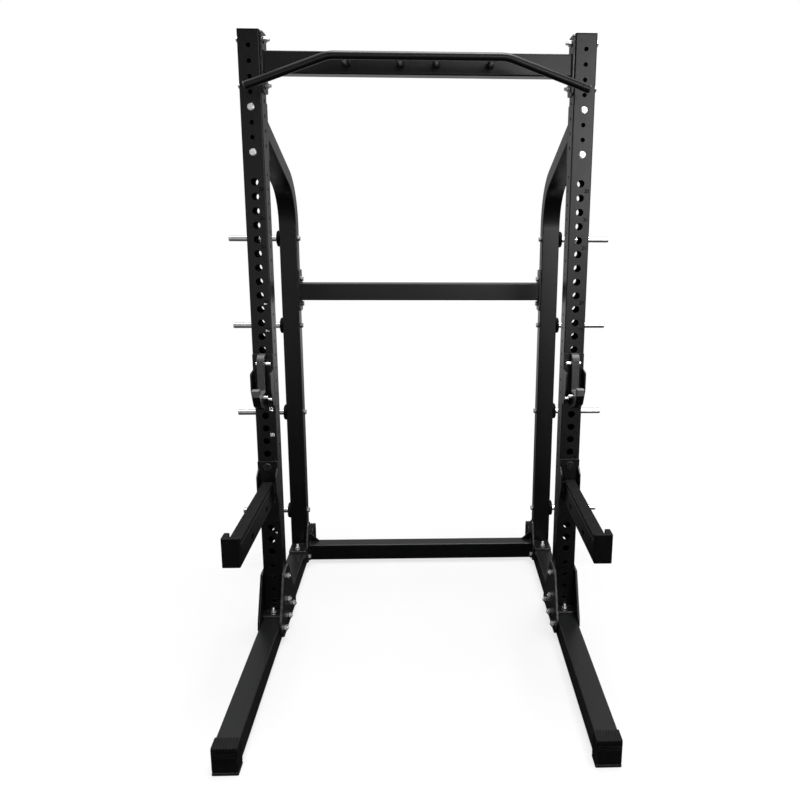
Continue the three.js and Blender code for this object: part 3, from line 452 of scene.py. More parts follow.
def add_plate(bm, corners, place, low, high, rim, cut=0):
    """A plate between two places, in any order. `rim` is the width of its bevel, 0 for a cutter,
    and `cut` is how much its rim is painted paler, as a painted highlight."""
    points = outline(corners)
    first = [bm.verts.new(place(p.x, p.y, low)) for p in points]
    second = [bm.verts.new(place(p.x, p.y, high)) for p in points]
    faces = [bm.faces.new(first), bm.faces.new(second[::-1])]
    for i in range(len(points)):
        faces.append(bm.faces.new((first[i], first[i - 1], second[i - 1], second[i])))
        faces[-1][bm.faces.layers.float["edge"]] = cut
    bmesh.ops.recalc_face_normals(bm, faces=faces)
    if rim:
        soften(bm, faces, rim)


# %% Tubes
def add_tube(bm, path, square, width, depth, corner):
    """A tube along a flat path. Its width lies along `square`, the direction out of the plane."""
    outer = outline(rectangle(-width / 2, width / 2, -depth / 2, depth / 2, corner))
    inner = outline(rectangle(WALL - width / 2, width / 2 - WALL, WALL - depth / 2,
                              depth / 2 - WALL, max(corner - WALL, 1)))
    rings = []
    for i, here in enumerate(path):
        into = (here - path[max(i - 1, 0)]).normalized()
        out = (path[min(i + 1, len(path) - 1)] - here).normalized()
        along = (into + out).normalized()
        across = along.cross(square) / along.dot(out if i == 0 else into)
        rings.append([
            [bm.verts.new(here + square * p.x + across * p.y) for p in line]
            for line in (outer, inner)])
    faces = []
    count = len(outer)
    for (start_out, start_in), (end_out, end_in) in zip(rings, rings[1:]):
        for k in range(count):
            faces.append(bm.faces.new((start_out[k - 1], start_out[k], end_out[k], end_out[k - 1])))
            faces.append(bm.faces.new((start_in[k], start_in[k - 1], end_in[k - 1], end_in[k])))
    for outside, inside in (rings[0], rings[-1]):
        for k in range(count):
            faces.append(bm.faces.new((outside[k - 1], outside[k], inside[k], inside[k - 1])))
    bmesh.ops.recalc_face_normals(bm, faces=faces)


def bent_path(corners, radius, steps):
    """A line of points through the corners, each drawn as an arc."""
    points = [corners[0]]
    for before, here, after in zip(corners, corners[1:], corners[2:]):
        into = (here - before).normalized()
        out = (after - here).normalized()
        angle = into.angle(out)
        side = (out - into * math.cos(angle)).normalized()
        start = here - into * radius * math.tan(angle / 2)
        for step in range(steps + 1):
            turned = angle * step / steps
            points.append(start + into * radius * math.sin(turned)
                          + side * radius * (1 - math.cos(turned)))
    return points + [corners[-1]]


# %% Turned parts
def add_turned(bm, profile, at, way, sides=32, closed=False):
    """Turns (distance, radius) pairs about a line from `at` along `way`."""
    way = Vector(way).normalized()
    first = way.orthogonal().normalized()
    second = way.cross(first)
    rings = []
    for distance, radius in profile:
        middle = Vector(at) + way * distance
        count = sides if radius > 0 else 1
        rings.append([
            bm.verts.new(middle + (first * math.cos(a) + second * math.sin(a)) * radius)
            for a in (2 * math.pi * k / sides for k in range(count))])
    faces = []
    pairs = list(zip(rings, rings[1:])) + ([(rings[-1], rings[0])] if closed else [])
    for low, high in pairs:
        for k in range(sides):
            corners = [low[k % len(low)], low[(k + 1) % len(low)],
                       high[(k + 1) % len(high)], high[k % len(high)]]
            distinct = list(dict.fromkeys(corners))
            if len(distinct) > 2:
                faces.append(bm.faces.new(distinct))
    bmesh.ops.recalc_face_normals(bm, faces=faces)


def rounded_rod(length, radius, edge=1):
    """The profile of a rod with both ends softened."""
    return [(0, 0), (0, radius - edge), (edge * 0.3, radius - edge * 0.3), (edge, radius),
            (length - edge, radius), (length - edge * 0.3, radius - edge * 0.3),
            (length, radius - edge), (length, 0)]


# %% Cutting
def carved(bm, *cutters):
    """The shape with the cutters' space taken out of it."""
    body = in_scene(to_mesh(bm))
    for cutter in cutters:
        tool = in_scene(cutter)
        cut = body.modifiers.new("cut", "BOOLEAN")
        cut.operation = "DIFFERENCE"
        cut.solver = "EXACT"
        cut.object = tool
        tool.hide_render = True
    made = evaluated(body)
    for cut in body.modifiers:
        bpy.data.objects.remove(cut.object)
    bpy.data.objects.remove(body)
    return new_shape(made)


# %% [markdown]
# ## Rows of holes
# The uprights' faces are drilled from top to bottom at one pitch. Copies along a line are what
# Geometry Nodes do best: a line of points, one cylinder on each. The tree has named inputs for
# how many, how far apart and how wide, so the big pin holes, the small bolt holes and the holes in
# the side faces all come from it. A cylinder's faces are marked as a hole's inside, and the cut
# hands that mark on to the walls that it leaves.

# %% The hole row tree
def new_growth(name, inputs):
    """A Geometry Nodes tree with named inputs."""
    tree = bpy.data.node_groups.new(name, "GeometryNodeTree")
    tree.interface.new_socket("Geometry", in_out="OUTPUT", socket_type="NodeSocketGeometry")
    tree.interface.new_socket("Geometry", in_out="INPUT", socket_type="NodeSocketGeometry")
    for label, kind in inputs.items():
        tree.interface.new_socket(label, in_out="INPUT", socket_type="NodeSocket" + kind)
    tree.interface.new_socket("Finish", in_out="INPUT", socket_type="NodeSocketMaterial")
    graph = Graph(tree)
    return graph, graph.add("NodeGroupInput").outputs


def close_growth(graph, given, geometry):
    """Every tree ends in real geometry with its material set."""
    real = graph.add("GeometryNodeRealizeInstances", sockets={"Geometry": geometry})
    painted = graph.add("GeometryNodeSetMaterial", sockets={
        "Geometry": real.outputs["Geometry"], "Material": given["Finish"]})
    graph.add("NodeGroupOutput", sockets={0: painted.outputs["Geometry"]})
    return graph.tree


def row_of_points(graph, given):
    line = graph.add("GeometryNodeMeshLine", sockets={
        "Count": given["Count"], "Start Location": given["Start"], "Offset": given["Step"]})
    return line.outputs["Mesh"]


def copies(graph, points, part, sockets=None):
    """One copy of the part on each point."""
    placed = graph.add("GeometryNodeInstanceOnPoints", sockets={
        "Points": points, "Instance": part, **(sockets or {})})
    return placed.outputs["Instances"]


def hole_row_tree():
    graph, given = new_growth("row of holes", {
        "Count": "Int", "Step": "Vector", "Start": "Vector", "Turn": "Vector",
        "Radius": "Float", "Length": "Float", "Sides": "Int"})
    drill = graph.add("GeometryNodeMeshCylinder", sockets={
        "Vertices": given["Sides"], "Radius": given["Radius"], "Depth": given["Length"]})
    points = row_of_points(graph, given)
    placed = copies(graph, points, drill.outputs["Mesh"], {"Rotation": given["Turn"]})
    return close_growth(graph, given, placed)


hole_row = hole_row_tree()


def grow(tree, values, mesh=None):
    """Runs a tree on a mesh, or on nothing, and gives the plain mesh that it makes."""
    holder = in_scene(mesh or bpy.data.meshes.new("seed"))
    modifier = holder.modifiers.new("grow", "NODES")
    modifier.node_group = tree
    for item in tree.interface.items_tree:
        if item.name in values:
            modifier[item.identifier] = values[item.name]
    made = evaluated(holder)
    bpy.data.objects.remove(holder)
    return made


ALONG_Y = (math.pi / 2, 0, 0)
ALONG_X = (0, math.pi / 2, 0)


def holes(turn, first, count, radius, sides):
    """The drills for a row of holes right through an upright."""
    mesh = grow(hole_row, {
        "Count": count, "Step": (0, 0, HOLE_STEP), "Start": (0, HALF, first), "Turn": turn,
        "Radius": float(radius), "Length": float(POST + 2 * CUT_PAST), "Sides": sides})
    marks = mesh.attributes.new("edge", "FLOAT", "FACE")
    marks.data.foreach_set("value", [IN_HOLE] * len(mesh.polygons))
    return mesh


# %% [markdown]
# ## Numbers beside the holes
# Every second pin hole has its number beside it, so that both J-cups end up at the same height.
# They are cut right through the wall by the same laser as the holes. The middle of an 8 or a 0
# would fall out, so such digits keep a thin bridge, as on a stencil. A text object gives the shape
# of each digit, the bridge is cut out of it, and the result is used as one more cutter.

# %% Digit cutters
DIGIT_HEIGHT = 14.5
DIGIT_STEP = 8.4
DIGIT_SQUEEZE = 0.92
DIGIT_BOLDNESS = 0.018
BRIDGE = 1.5
BRIDGED = "0468"
NUMBER_X = 21
NUMBERS = range(2, 29, 2)
# The outline of a digit with sharp corners would cross itself if it were made bolder
SHARP_CORNERED = "4"


def digit_cutter(character):
    """One digit as a solid that stands upright and faces the front, centred on the origin."""
    curve = bpy.data.curves.new("digit", "FONT")
    curve.body = character
    curve.extrude = 0.5
    curve.offset = 0 if character in SHARP_CORNERED else DIGIT_BOLDNESS
    curve.resolution_u = 5
    thing = in_scene(curve)
    bm = new_shape(evaluated(thing))
    bpy.data.objects.remove(thing)
    bmesh.ops.remove_doubles(bm, verts=bm.verts, dist=0.0005)
    xs = [v.co.x for v in bm.verts]
    ys = [v.co.y for v in bm.verts]
    size = DIGIT_HEIGHT / (max(ys) - min(ys))
    middle = Vector((-(max(xs) + min(xs)) / 2, -(max(ys) + min(ys)) / 2, 0))
    scale = Matrix.Diagonal((size * DIGIT_SQUEEZE, size, 4 * WALL, 1))
    turn = Matrix.Rotation(math.pi / 2, 4, "X")
    bmesh.ops.transform(bm, matrix=turn @ scale @ Matrix.Translation(middle), verts=bm.verts)
    bmesh.ops.recalc_face_normals(bm, faces=bm.faces)
    if character in BRIDGED:
        bridge = new_shape()
        reach = DIGIT_HEIGHT
        strip = rectangle(-BRIDGE / 2, BRIDGE / 2, -reach, reach, 0)
        add_plate(bridge, strip, facing, -reach, reach, 0)
        bm = carved(bm, to_mesh(bridge))
    return to_mesh(bm)


digits = {character: digit_cutter(character) for character in "012468"}
print("digits:", {character: len(mesh.polygons) for character, mesh in digits.items()})


def number_cutters():
    """All the numbers of one upright, each midway between its own hole and the next one up."""
    bm = new_shape()
    for number in NUMBERS:
        text = str(number)
        height = FIRST_PIN + HOLE_STEP * (number - 0.5)
        for i, character in enumerate(text):
            x = NUMBER_X + (i - (len(text) - 1) / 2) * DIGIT_STEP
            mesh = digits[character].copy()
            mesh.transform(Matrix.Translation((x, 0, height)))
            bm.from_mesh(mesh)
            bpy.data.meshes.remove(mesh)
    return to_mesh(bm)


# %% [markdown]
# ## Front uprights
# Each upright is a 75 mm square tube, closed by a plate that is welded under it. It could be a
# box with a picture of holes on it, but the holes show daylight and shade inside the tube, so the
# tube is hollow and the holes are real. All cutters go through in one step before the plate is
# added, because the plate touches the tube and a clean cut needs shells that don't touch. A cut
# through one long face leaves slivers that shade badly. So the tube is made in bands, one for each
# hole and one for what lies between two holes, and a cut tube is shaded smooth only over edges of
# less than 10 degrees.

# %% Drilled uprights
CARVED_SMOOTH = 10
HALF_BAND = 15.4
UPRIGHT_PLATE_Y = (-38, 113)
FRONT_ROWS = [
    {"first": FIRST_PIN, "count": 29, "radius": 13, "sides": 40},
    {"first": TOP_ROW, "count": 8, "radius": 7.75, "sides": 28},
    {"first": 140, "count": 4, "radius": 7.75, "sides": 28}]
SIDE_ROWS = [
    {"first": TOP_ROW + HOLE_STEP / 2, "count": 7, "radius": 7, "sides": 28},
    {"first": FIRST_PIN + HOLE_STEP / 2, "count": 29, "radius": 5.5, "sides": 24}]


def upright():
    bm = new_shape()
    heights = sorted(row["first"] + HOLE_STEP * i for row in FRONT_ROWS for i in range(row["count"]))
    bands = [z + way * HALF_BAND for z in heights for way in (-1, 1)]
    path = [Vector((0, HALF, z)) for z in (BASE_TOP, *bands, POST_TOP)]
    add_tube(bm, path, ACROSS, POST, POST, POST_CORNER)
    through_front = [holes(ALONG_Y, **row) for row in FRONT_ROWS]
    through_sides = [holes(ALONG_X, **row) for row in SIDE_ROWS]
    bm = carved(bm, *through_front, *through_sides, number_cutters())
    add_plate(bm, rectangle(-HALF, HALF, *UPRIGHT_PLATE_Y, 3), lying, BASE_LOW, BASE_TOP, 1, RIM_HIGHLIGHT)
    return bm


for label, side in SIDES.items():
    settle(f"drilled_upright_{label}", upright(), "black_paint",
           nodes=[f"front_upright_{label}"], side=side, smooth=CARVED_SMOOTH)

# %% [markdown]
# ## Caps on the uprights
# A thin plastic lid closes the open top, held by a plug that grips the inside of the tube.

# %% Upright caps
LID = 4
PLUG_DEPTH = 13


def upright_cap():
    bm = new_shape()
    under = POST_TOP + GAP
    add_plate(bm, rectangle(-HALF, HALF, 0, POST, POST_CORNER), lying, under, under + LID, 1.4)
    plug = HALF - WALL - GAP
    add_plate(bm, rectangle(-plug, plug, HALF - plug, HALF + plug, 5), lying,
              POST_TOP - PLUG_DEPTH, POST_TOP + 1, 1)
    return bm


for label, side in SIDES.items():
    settle(f"top_lid_{label}", upright_cap(), "black_plastic",
           nodes=[f"upright_cap_{label}"], side=side)

# %% [markdown]
# ## Feet and their boots
# The feet are the same square tube, lying down. A plastic boot closes each end and lifts the tube
# off the floor. Its top has fine ribs against slipping that fold over the front edge, its front
# has a few moulding lines, and a softer, paler sole runs round its bottom. The ribs repeat, so
# they are grown: one rib is modelled, and a tree sets a row of it across the boot.

# %% Foot tubes
FOOT_REACH = 720.2


def foot():
    bm = new_shape()
    middle = (FOOT_LIFT + FOOT_TOP) / 2
    path = [Vector((0, HALF - FOOT_REACH, middle)), Vector((0, HALF + FOOT_REACH, middle))]
    add_tube(bm, path, ACROSS, POST, POST, POST_CORNER)
    return bm


for label, side in SIDES.items():
    settle(f"floor_tube_{label}", foot(), "black_paint", nodes=[f"foot_{label}"], side=side)

# %% The rib row tree
def copy_row_tree():
    graph, given = new_growth("row of copies", {
        "Count": "Int", "Step": "Vector", "Start": "Vector"})
    placed = copies(graph, row_of_points(graph, given), given["Geometry"])
    return close_growth(graph, given, placed)


copy_row = copy_row_tree()


def repeated(bm, count, step):
    """A centred row of copies of one shape."""
    start = tuple(-value * (count - 1) / 2 for value in step)
    values = {"Count": count, "Step": step, "Start": start, "Finish": black_plastic}
    return grow(copy_row, values, to_mesh(bm))


# %% Boots
BOOT_REACH = 726.5
BOOT_HALF = 40.5
BOOT_TOP = 95
BOOT_LENGTH = 46
BOOT_FRONT = 6
SOLE = 10
RIB = 3
RIB_HALF = 3
RIB_START = 2.5
RIB_FOLD = 15
RIB_COUNT = 9
RIB_STEP = 9
LINE_HALF = 0.9
LINE_INSET = 6
LINE_COUNT = 4
LINE_STEP = 5
LINES_HEIGHT = 66


def rib(face, mouth, end):
    """One rib, which runs over the top of a boot and folds down over its face."""
    bm = new_shape()
    start = mouth + end * RIB_START
    root = BOOT_TOP - RIB - 1
    skin = face - end * RIB
    corners = [(start, root), (start, BOOT_TOP, 1), (face, BOOT_TOP, 3.5),
               (face, BOOT_TOP - RIB_FOLD, 1), (skin, BOOT_TOP - RIB_FOLD),
               (skin, BOOT_TOP - 2 * RIB), (face - end * BOOT_FRONT, root)]
    add_plate(bm, corners, standing_across, -RIB_HALF, RIB_HALF, 0.8)
    return bm


def boot(end):
    """The ribbed shoe at the front (-1) or the back (1) of a foot."""
    face = HALF + end * BOOT_REACH
    mouth = face - end * BOOT_LENGTH
    skin = face - end
    bm = new_shape()
    add_plate(bm, rectangle(-BOOT_HALF, BOOT_HALF, SOLE - 1, BOOT_TOP - RIB, 8), facing, skin, mouth, 3)
    pocket = new_shape()
    inside = HALF + GAP
    add_plate(pocket, rectangle(-inside, inside, FOOT_LIFT - GAP, FOOT_TOP + GAP, POST_CORNER),
              facing, face - end * BOOT_FRONT, mouth - end * CUT_PAST, 0)
    bm = carved(bm, to_mesh(pocket))
    bm.from_mesh(repeated(rib(face, mouth, end), RIB_COUNT, (RIB_STEP, 0, 0)))
    line = new_shape()
    reach = BOOT_HALF - LINE_INSET
    strip = rectangle(-reach, reach, -LINE_HALF, LINE_HALF, 0)
    add_plate(line, strip, facing, face, face - end * RIB, 0.4)
    lines = repeated(line, LINE_COUNT, (0, 0, LINE_STEP))
    lines.transform(Matrix.Translation((0, 0, LINES_HEIGHT)))
    bm.from_mesh(lines)
    return bm


def sole(end):
    face = HALF + end * BOOT_REACH
    bm = new_shape()
    corners = [(-BOOT_HALF, 0, SOLE), (BOOT_HALF, 0, SOLE), (BOOT_HALF, SOLE), (-BOOT_HALF, SOLE)]
    add_plate(bm, corners, facing, face, face - end * BOOT_LENGTH, 2)
    return bm


for label, side in SIDES.items():
    for place, end in (("front", -1), ("rear", 1)):
        node = f"foot_cap_{place}_{label}"
        settle(f"boot_{place}_{label}", boot(end), "black_plastic", nodes=[node], side=side)
        settle(f"sole_{place}_{label}", sole(end), "sole_rubber", side=side)

# %% [markdown]
# ## Rear uprights
# Each rear upright is one bent tube: straight up, round a wide bend, and then sloping forward to
# the front upright, where a plate is welded across its end. A tube bender leaves the section
# whole, so the tube is one section carried along the path, mitred at every step of the bend.

# %% Bent rear uprights
REAR_MIDDLE = 568
REAR_DEPTH = 60
BEND_R = 225
BEND_STEPS = 20
ARM_SLOPE = math.radians(22.4)
ARM_Z = 1936
ARM_PLATE = 8
ARM_PLATE_Z = (1826, 2024)
ARM_FACE = POST + GAP + ARM_PLATE
REAR_PLATE_Y = (466, 620)
TRIM_HALF = 130


def rear_upright():
    bm = new_shape()
    corner_z = ARM_Z - (REAR_MIDDLE - POST) * math.tan(ARM_SLOPE)
    slope = Vector((0, -math.cos(ARM_SLOPE), math.sin(ARM_SLOPE)))
    corner = Vector((0, REAR_MIDDLE, corner_z))
    past_plate = ARM_FACE - 14
    tip = corner + slope * ((REAR_MIDDLE - past_plate) / math.cos(ARM_SLOPE))
    path = bent_path([Vector((0, REAR_MIDDLE, BASE_TOP)), corner, tip], BEND_R, BEND_STEPS)
    add_tube(bm, path, ACROSS, POST, REAR_DEPTH, POST_CORNER)
    trim = new_shape()
    add_plate(trim, rectangle(-60, 60, -60, ARM_FACE - 1, 0), lying, ARM_Z - TRIM_HALF,
              ARM_Z + TRIM_HALF, 0)
    bm = carved(bm, to_mesh(trim))
    add_plate(bm, rectangle(-HALF, HALF, *ARM_PLATE_Z, 4), facing, POST + GAP, ARM_FACE, 1, RIM_HIGHLIGHT)
    add_plate(bm, rectangle(-HALF, HALF, *REAR_PLATE_Y, 4), lying, BASE_LOW, BASE_TOP, 1, RIM_HIGHLIGHT)
    return bm


for label, side in SIDES.items():
    settle(f"bent_upright_{label}", rear_upright(), "black_paint",
           nodes=[f"rear_upright_{label}"], side=side, smooth=CARVED_SMOOTH)

# %% [markdown]
# ## Base gussets
# Two thick plates clamp each front upright to its foot, one on either side. Five bolts squeeze
# them together. The plates are cut from 8 mm sheet with rounded corners.

# %% Gusset plates
GUSSET_OUTLINE = [(-14, 262, 3), (-92, 100, 16), (-92, 66, 16), (-58, 16, 16), (190, 16, 16),
                  (190, 44, 16), (72, 262, 16)]
GUSSET_BOLTS = [(HALF, 225), (HALF, 125), (-45, 52), (HALF, 52), (125, 52)]
GUSSET = 8
GUSSET_FACE = HALF + GAP + GUSSET

for label, side in SIDES.items():
    for where, out in (("inner", -side), ("outer", side)):
        bm = new_shape()
        # Only the inner plates' rims get the painted highlight
        cut = RIM_HIGHLIGHT if where == "inner" else 0
        add_plate(bm, GUSSET_OUTLINE, standing_across, out * (HALF + GAP), out * GUSSET_FACE, 1, cut)
        settle(f"gusset_{where}_{label}", bm, "black_paint",
               nodes=[f"base_gusset_{where}_{label}"], side=side)

# %% [markdown]
# ## Crossmembers
# Three tubes tie the sides together: the top beam, one across the rear uprights, and one on the
# floor. Each has a plate welded to both ends that bolts to its upright. The one on the floor has
# tall end plates and small webs, because it stops the rack from racking sideways.

# %% The three crossmembers
MEMBER_END = SIDE_X - HALF - GAP
END_PLATE = 7
TUBE_END = MEMBER_END - END_PLATE
TOP_FRONT = 15
REAR_FRONT = REAR_MIDDLE - REAR_DEPTH / 2
TOP_Z = 2150
MIDDLE_Z = 1298.9
FLOOR_Z = FOOT_LIFT + HALF
TOP_PLATE = rectangle(5, 75, TOP_Z - 100, TOP_Z + 100, 12)
MIDDLE_PLATE = rectangle(539, 597, MIDDLE_Z - 86, MIDDLE_Z + 96, 12)
FLOOR_PLATE = [(495, 20, 14), (672, 20, 14), (672, 60, 14), (572, 198, 14), (538, 198, 14),
               (495, 105, 14)]
WEB_HIGH = 40
WEB_LONG = 44
WEB_Y = (580, 586)


def crossmember(front, middle_z, plate_corners):
    bm = new_shape()
    middle = front + REAR_DEPTH / 2
    path = [Vector((-TUBE_END, middle, middle_z)), Vector((TUBE_END, middle, middle_z))]
    add_tube(bm, path, BACKWARDS, REAR_DEPTH, POST, 6)
    for side in (-1, 1):
        add_plate(bm, plate_corners, standing_across, side * TUBE_END, side * MEMBER_END, 1, RIM_HIGHLIGHT)
    return bm


def add_webs(bm):
    """A small triangle on top of the floor tube in each corner with its end plates."""
    for side in (-1, 1):
        corners = [(side * TUBE_END, FOOT_TOP), (side * TUBE_END, FOOT_TOP + WEB_HIGH, 4),
                   (side * (TUBE_END - WEB_LONG), FOOT_TOP, 4)]
        add_plate(bm, corners, facing, *WEB_Y, 0.8)


beam_floor = crossmember(REAR_FRONT, FLOOR_Z, FLOOR_PLATE)
add_webs(beam_floor)
settle("beam_top", crossmember(TOP_FRONT, TOP_Z, TOP_PLATE), "black_paint", nodes=["top_beam"])
settle("beam_middle", crossmember(REAR_FRONT, MIDDLE_Z, MIDDLE_PLATE), "black_paint",
       nodes=["mid_crossmember"])
settle("beam_floor", beam_floor, "black_paint", nodes=["base_crossmember"])

# %% [markdown]
# ## Pull-up bar
# The bar is one tube with a level middle and two ends that drop. It follows a path by one rule,
# so it is grown: the tree rounds the path's corners and carries a circle along it. Four short
# stubs hold it in front of the top beam.

# %% The bar tree
def bent_bar_tree():
    graph, given = new_growth("bent round bar", {
        "Radius": "Float", "Bend radius": "Float", "Bend steps": "Int", "Sides": "Int"})
    path = graph.add("GeometryNodeMeshToCurve", sockets={"Mesh": given["Geometry"]})
    bends = graph.add("GeometryNodeFilletCurve", {"mode": "POLY"}, {
        "Curve": path.outputs["Curve"], "Radius": given["Bend radius"],
        "Count": given["Bend steps"]})
    circle = graph.add("GeometryNodeCurvePrimitiveCircle", sockets={
        "Resolution": given["Sides"], "Radius": given["Radius"]})
    bar = graph.add("GeometryNodeCurveToMesh", sockets={
        "Curve": bends.outputs["Curve"], "Profile Curve": circle.outputs["Curve"],
        "Fill Caps": True})
    return close_growth(graph, given, bar.outputs["Mesh"])


bent_bar = bent_bar_tree()

# %% The bar and its stubs
BAR_Y = -120
BAR_Z = 2145.5
BAR_R = 13.5
BAR_LEVEL = 290
BAR_END = 560
BAR_DROP = 96
STUBS = (-245, -61, 61, 245)
STUB_R = 12
STUB_ROOT = TOP_FRONT - GAP


def polyline(lines):
    """Lines of points as a mesh of bare edges; each is (points, closed)."""
    mesh = bpy.data.meshes.new("line")
    points, edges = [], []
    for line, closed in lines:
        start = len(points)
        points += [tuple(p) for p in line]
        edges += [(start + i, start + i + 1) for i in range(len(line) - 1)]
        if closed:
            edges.append((len(points) - 1, start))
    mesh.from_pydata(points, edges, [])
    return mesh


bar_path = [(-BAR_END, BAR_Y, BAR_Z - BAR_DROP), (-BAR_LEVEL, BAR_Y, BAR_Z),
            (BAR_LEVEL, BAR_Y, BAR_Z), (BAR_END, BAR_Y, BAR_Z - BAR_DROP)]
bar = new_shape(grow(bent_bar, {
    "Radius": float(BAR_R), "Bend radius": 110.0, "Bend steps": 10, "Sides": 40,
    "Finish": black_paint}, polyline([(bar_path, False)])))
bmesh.ops.recalc_face_normals(bar, faces=bar.faces)
for x in STUBS:
    add_turned(bar, rounded_rod(STUB_ROOT - BAR_Y, STUB_R), (x, STUB_ROOT, BAR_Z), (0, -1, 0))
settle("bar_for_pull_ups", bar, "black_paint", nodes=["pull_up_bar"])

# %% Plugs in the bar's ends
PLUG_DOME = [(0, 0), (0, 12.7), (0.6, 13.4), (3, 13.4), (4.4, 12.2), (5, 9), (5, 0)]

for label, side in SIDES.items():
    slope = math.atan2(BAR_DROP, BAR_END - BAR_LEVEL)
    way = Vector((side * math.cos(slope), 0, -math.sin(slope)))
    end = Vector((side * BAR_END, BAR_Y, BAR_Z - BAR_DROP))
    plug = new_shape()
    add_turned(plug, PLUG_DOME, end + way * GAP, way)
    settle(f"bar_plug_{label}", plug, "grey_plastic", nodes=[f"bar_cap_{label}"])

# %% [markdown]
# ## Storage pegs
# Four chromed pegs stand out from each rear upright to hold spare plates. They are turned parts:
# a straight rod with a chamfered tip. A plastic disc at the root keeps the plates off the paint.

# %% Pegs and their discs
PEG_HEIGHTS = (258, 740.2, 1144.7, 1530.2)
PEG_R = 12.5
PEG_TIP_X = 835
PEG_LENGTH = PEG_TIP_X - SIDE_X - HALF - GAP
DISC_PROFILE = [(0, 12.8), (0, 34), (1, 35), (9, 35), (11.6, 33.6), (13, 30.5), (13, 22),
                (11.8, 20), (11.8, 16.4), (13, 15.4), (13, 12.8)]

for label, side in SIDES.items():
    for i, height in enumerate(PEG_HEIGHTS, start=1):
        root = (side * (HALF + GAP), REAR_MIDDLE, height)
        peg = new_shape()
        add_turned(peg, rounded_rod(PEG_LENGTH, PEG_R, 2), root, (side, 0, 0), 40)
        settle(f"plate_peg_{i}_{label}", peg, "chrome", nodes=[f"storage_peg_{i}_{label}"], side=side)
        disc = new_shape()
        add_turned(disc, DISC_PROFILE, root, (side, 0, 0), 40, closed=True)
        settle(f"plate_disc_{i}_{label}", disc, "black_plastic", nodes=[f"peg_disc_{i}_{label}"],
               side=side)

# %% [markdown]
# ## Bolts
# Sixty bolt heads and nuts hold the rack together, all of one size. The head, the plain shank and
# the nut, with three lengths of thread beyond it, are modelled once. A tree sets a copy on every
# point of a cloud, turned and stretched by two vectors that each point carries, so a bolt is one
# line in a list.

# %% The tree that sets parts on points
def parts_on_points_tree():
    graph, given = new_growth("parts on points", {"Part": "Object"})
    part = graph.add("GeometryNodeObjectInfo", sockets={"Object": given["Part"]})
    turn, size = (
        graph.add("GeometryNodeInputNamedAttribute", {"data_type": "FLOAT_VECTOR"}, {"Name": name})
        for name in ("turn", "size"))
    placed = copies(graph, given["Geometry"], part.outputs["Geometry"], {
        "Rotation": turn.outputs["Attribute"], "Scale": size.outputs["Attribute"]})
    return close_growth(graph, given, placed)


parts_on_points = parts_on_points_tree()


def set_on_points(part, spots):
    """Copies of a part at spots (place, way, stretch along the way)."""
    mesh = bpy.data.meshes.new("spots")
    mesh.from_pydata([tuple(place) for place, _, _ in spots], [], [])
    turns = mesh.attributes.new("turn", "FLOAT_VECTOR", "POINT")
    sizes = mesh.attributes.new("size", "FLOAT_VECTOR", "POINT")
    for i, (_, way, stretch) in enumerate(spots):
        turns.data[i].vector = UP.rotation_difference(Vector(way)).to_euler()
        sizes.data[i].vector = (1, 1, stretch)
    holder = in_scene(part.copy())
    made = grow(parts_on_points, {"Part": holder, "Finish": zinc}, mesh)
    bpy.data.objects.remove(holder)
    return made


# %% Head, nut and shank
BOLT_R = 6
THREAD_STEP = 1.75
THREAD_DEPTH = 0.9
HEAD_CORNER = 11
HEAD_HIGH = 8
HEAD_CHAMFER = 0.97
HEAD_SIDES = 36
WASHER = 2.5
WASHER_R = 12.5
WASHER_EDGE = 0.6
WASHER_PAINTED_SHADE = 0.8
COLLAR_R = 10.4


def add_washer(bm, radius, start, way):
    """The washer comes first in a shape, and its mark paints it darker zinc than what comes after, a
    painted shade.
    """
    profile = [(0, 0), (0, radius - WASHER_EDGE), (WASHER_EDGE, radius),
               (WASHER - WASHER_EDGE, radius), (WASHER, radius - WASHER_EDGE), (WASHER, 0)]
    add_turned(bm, profile, (0, 0, start), (0, 0, way), HEAD_SIDES)
    mark(bm, WASHER_PAINTED_SHADE)


def add_hexagon(bm, start, way):
    """A hexagon with its outer corners chamfered to a circle, from height `start` along Z."""
    flat = HEAD_CORNER * math.cos(math.pi / 6)
    circle = flat * HEAD_CHAMFER
    rings = [[], [], []]
    for k in range(HEAD_SIDES):
        a = 2 * math.pi * k / HEAD_SIDES
        reach = flat / math.cos((a + math.pi / 6) % (math.pi / 3) - math.pi / 6)
        drop = (reach - circle) * math.tan(math.pi / 6)
        x, y = math.cos(a), math.sin(a)
        rings[0].append(bm.verts.new((x * reach, y * reach, start)))
        rings[1].append(bm.verts.new((x * reach, y * reach, start + way * (HEAD_HIGH - drop))))
        rings[2].append(bm.verts.new((x * circle, y * circle, start + way * HEAD_HIGH)))
    faces = [bm.faces.new(rings[0]), bm.faces.new(rings[2][::-1])]
    for low, high in zip(rings, rings[1:]):
        for k in range(HEAD_SIDES):
            faces.append(bm.faces.new((low[k - 1], low[k], high[k], high[k - 1])))
    bmesh.ops.recalc_face_normals(bm, faces=faces)


def bolt_head():
    bm = new_shape()
    add_washer(bm, WASHER_R, -GAP, -1)
    add_hexagon(bm, -GAP - WASHER, -1)
    return to_mesh(bm)


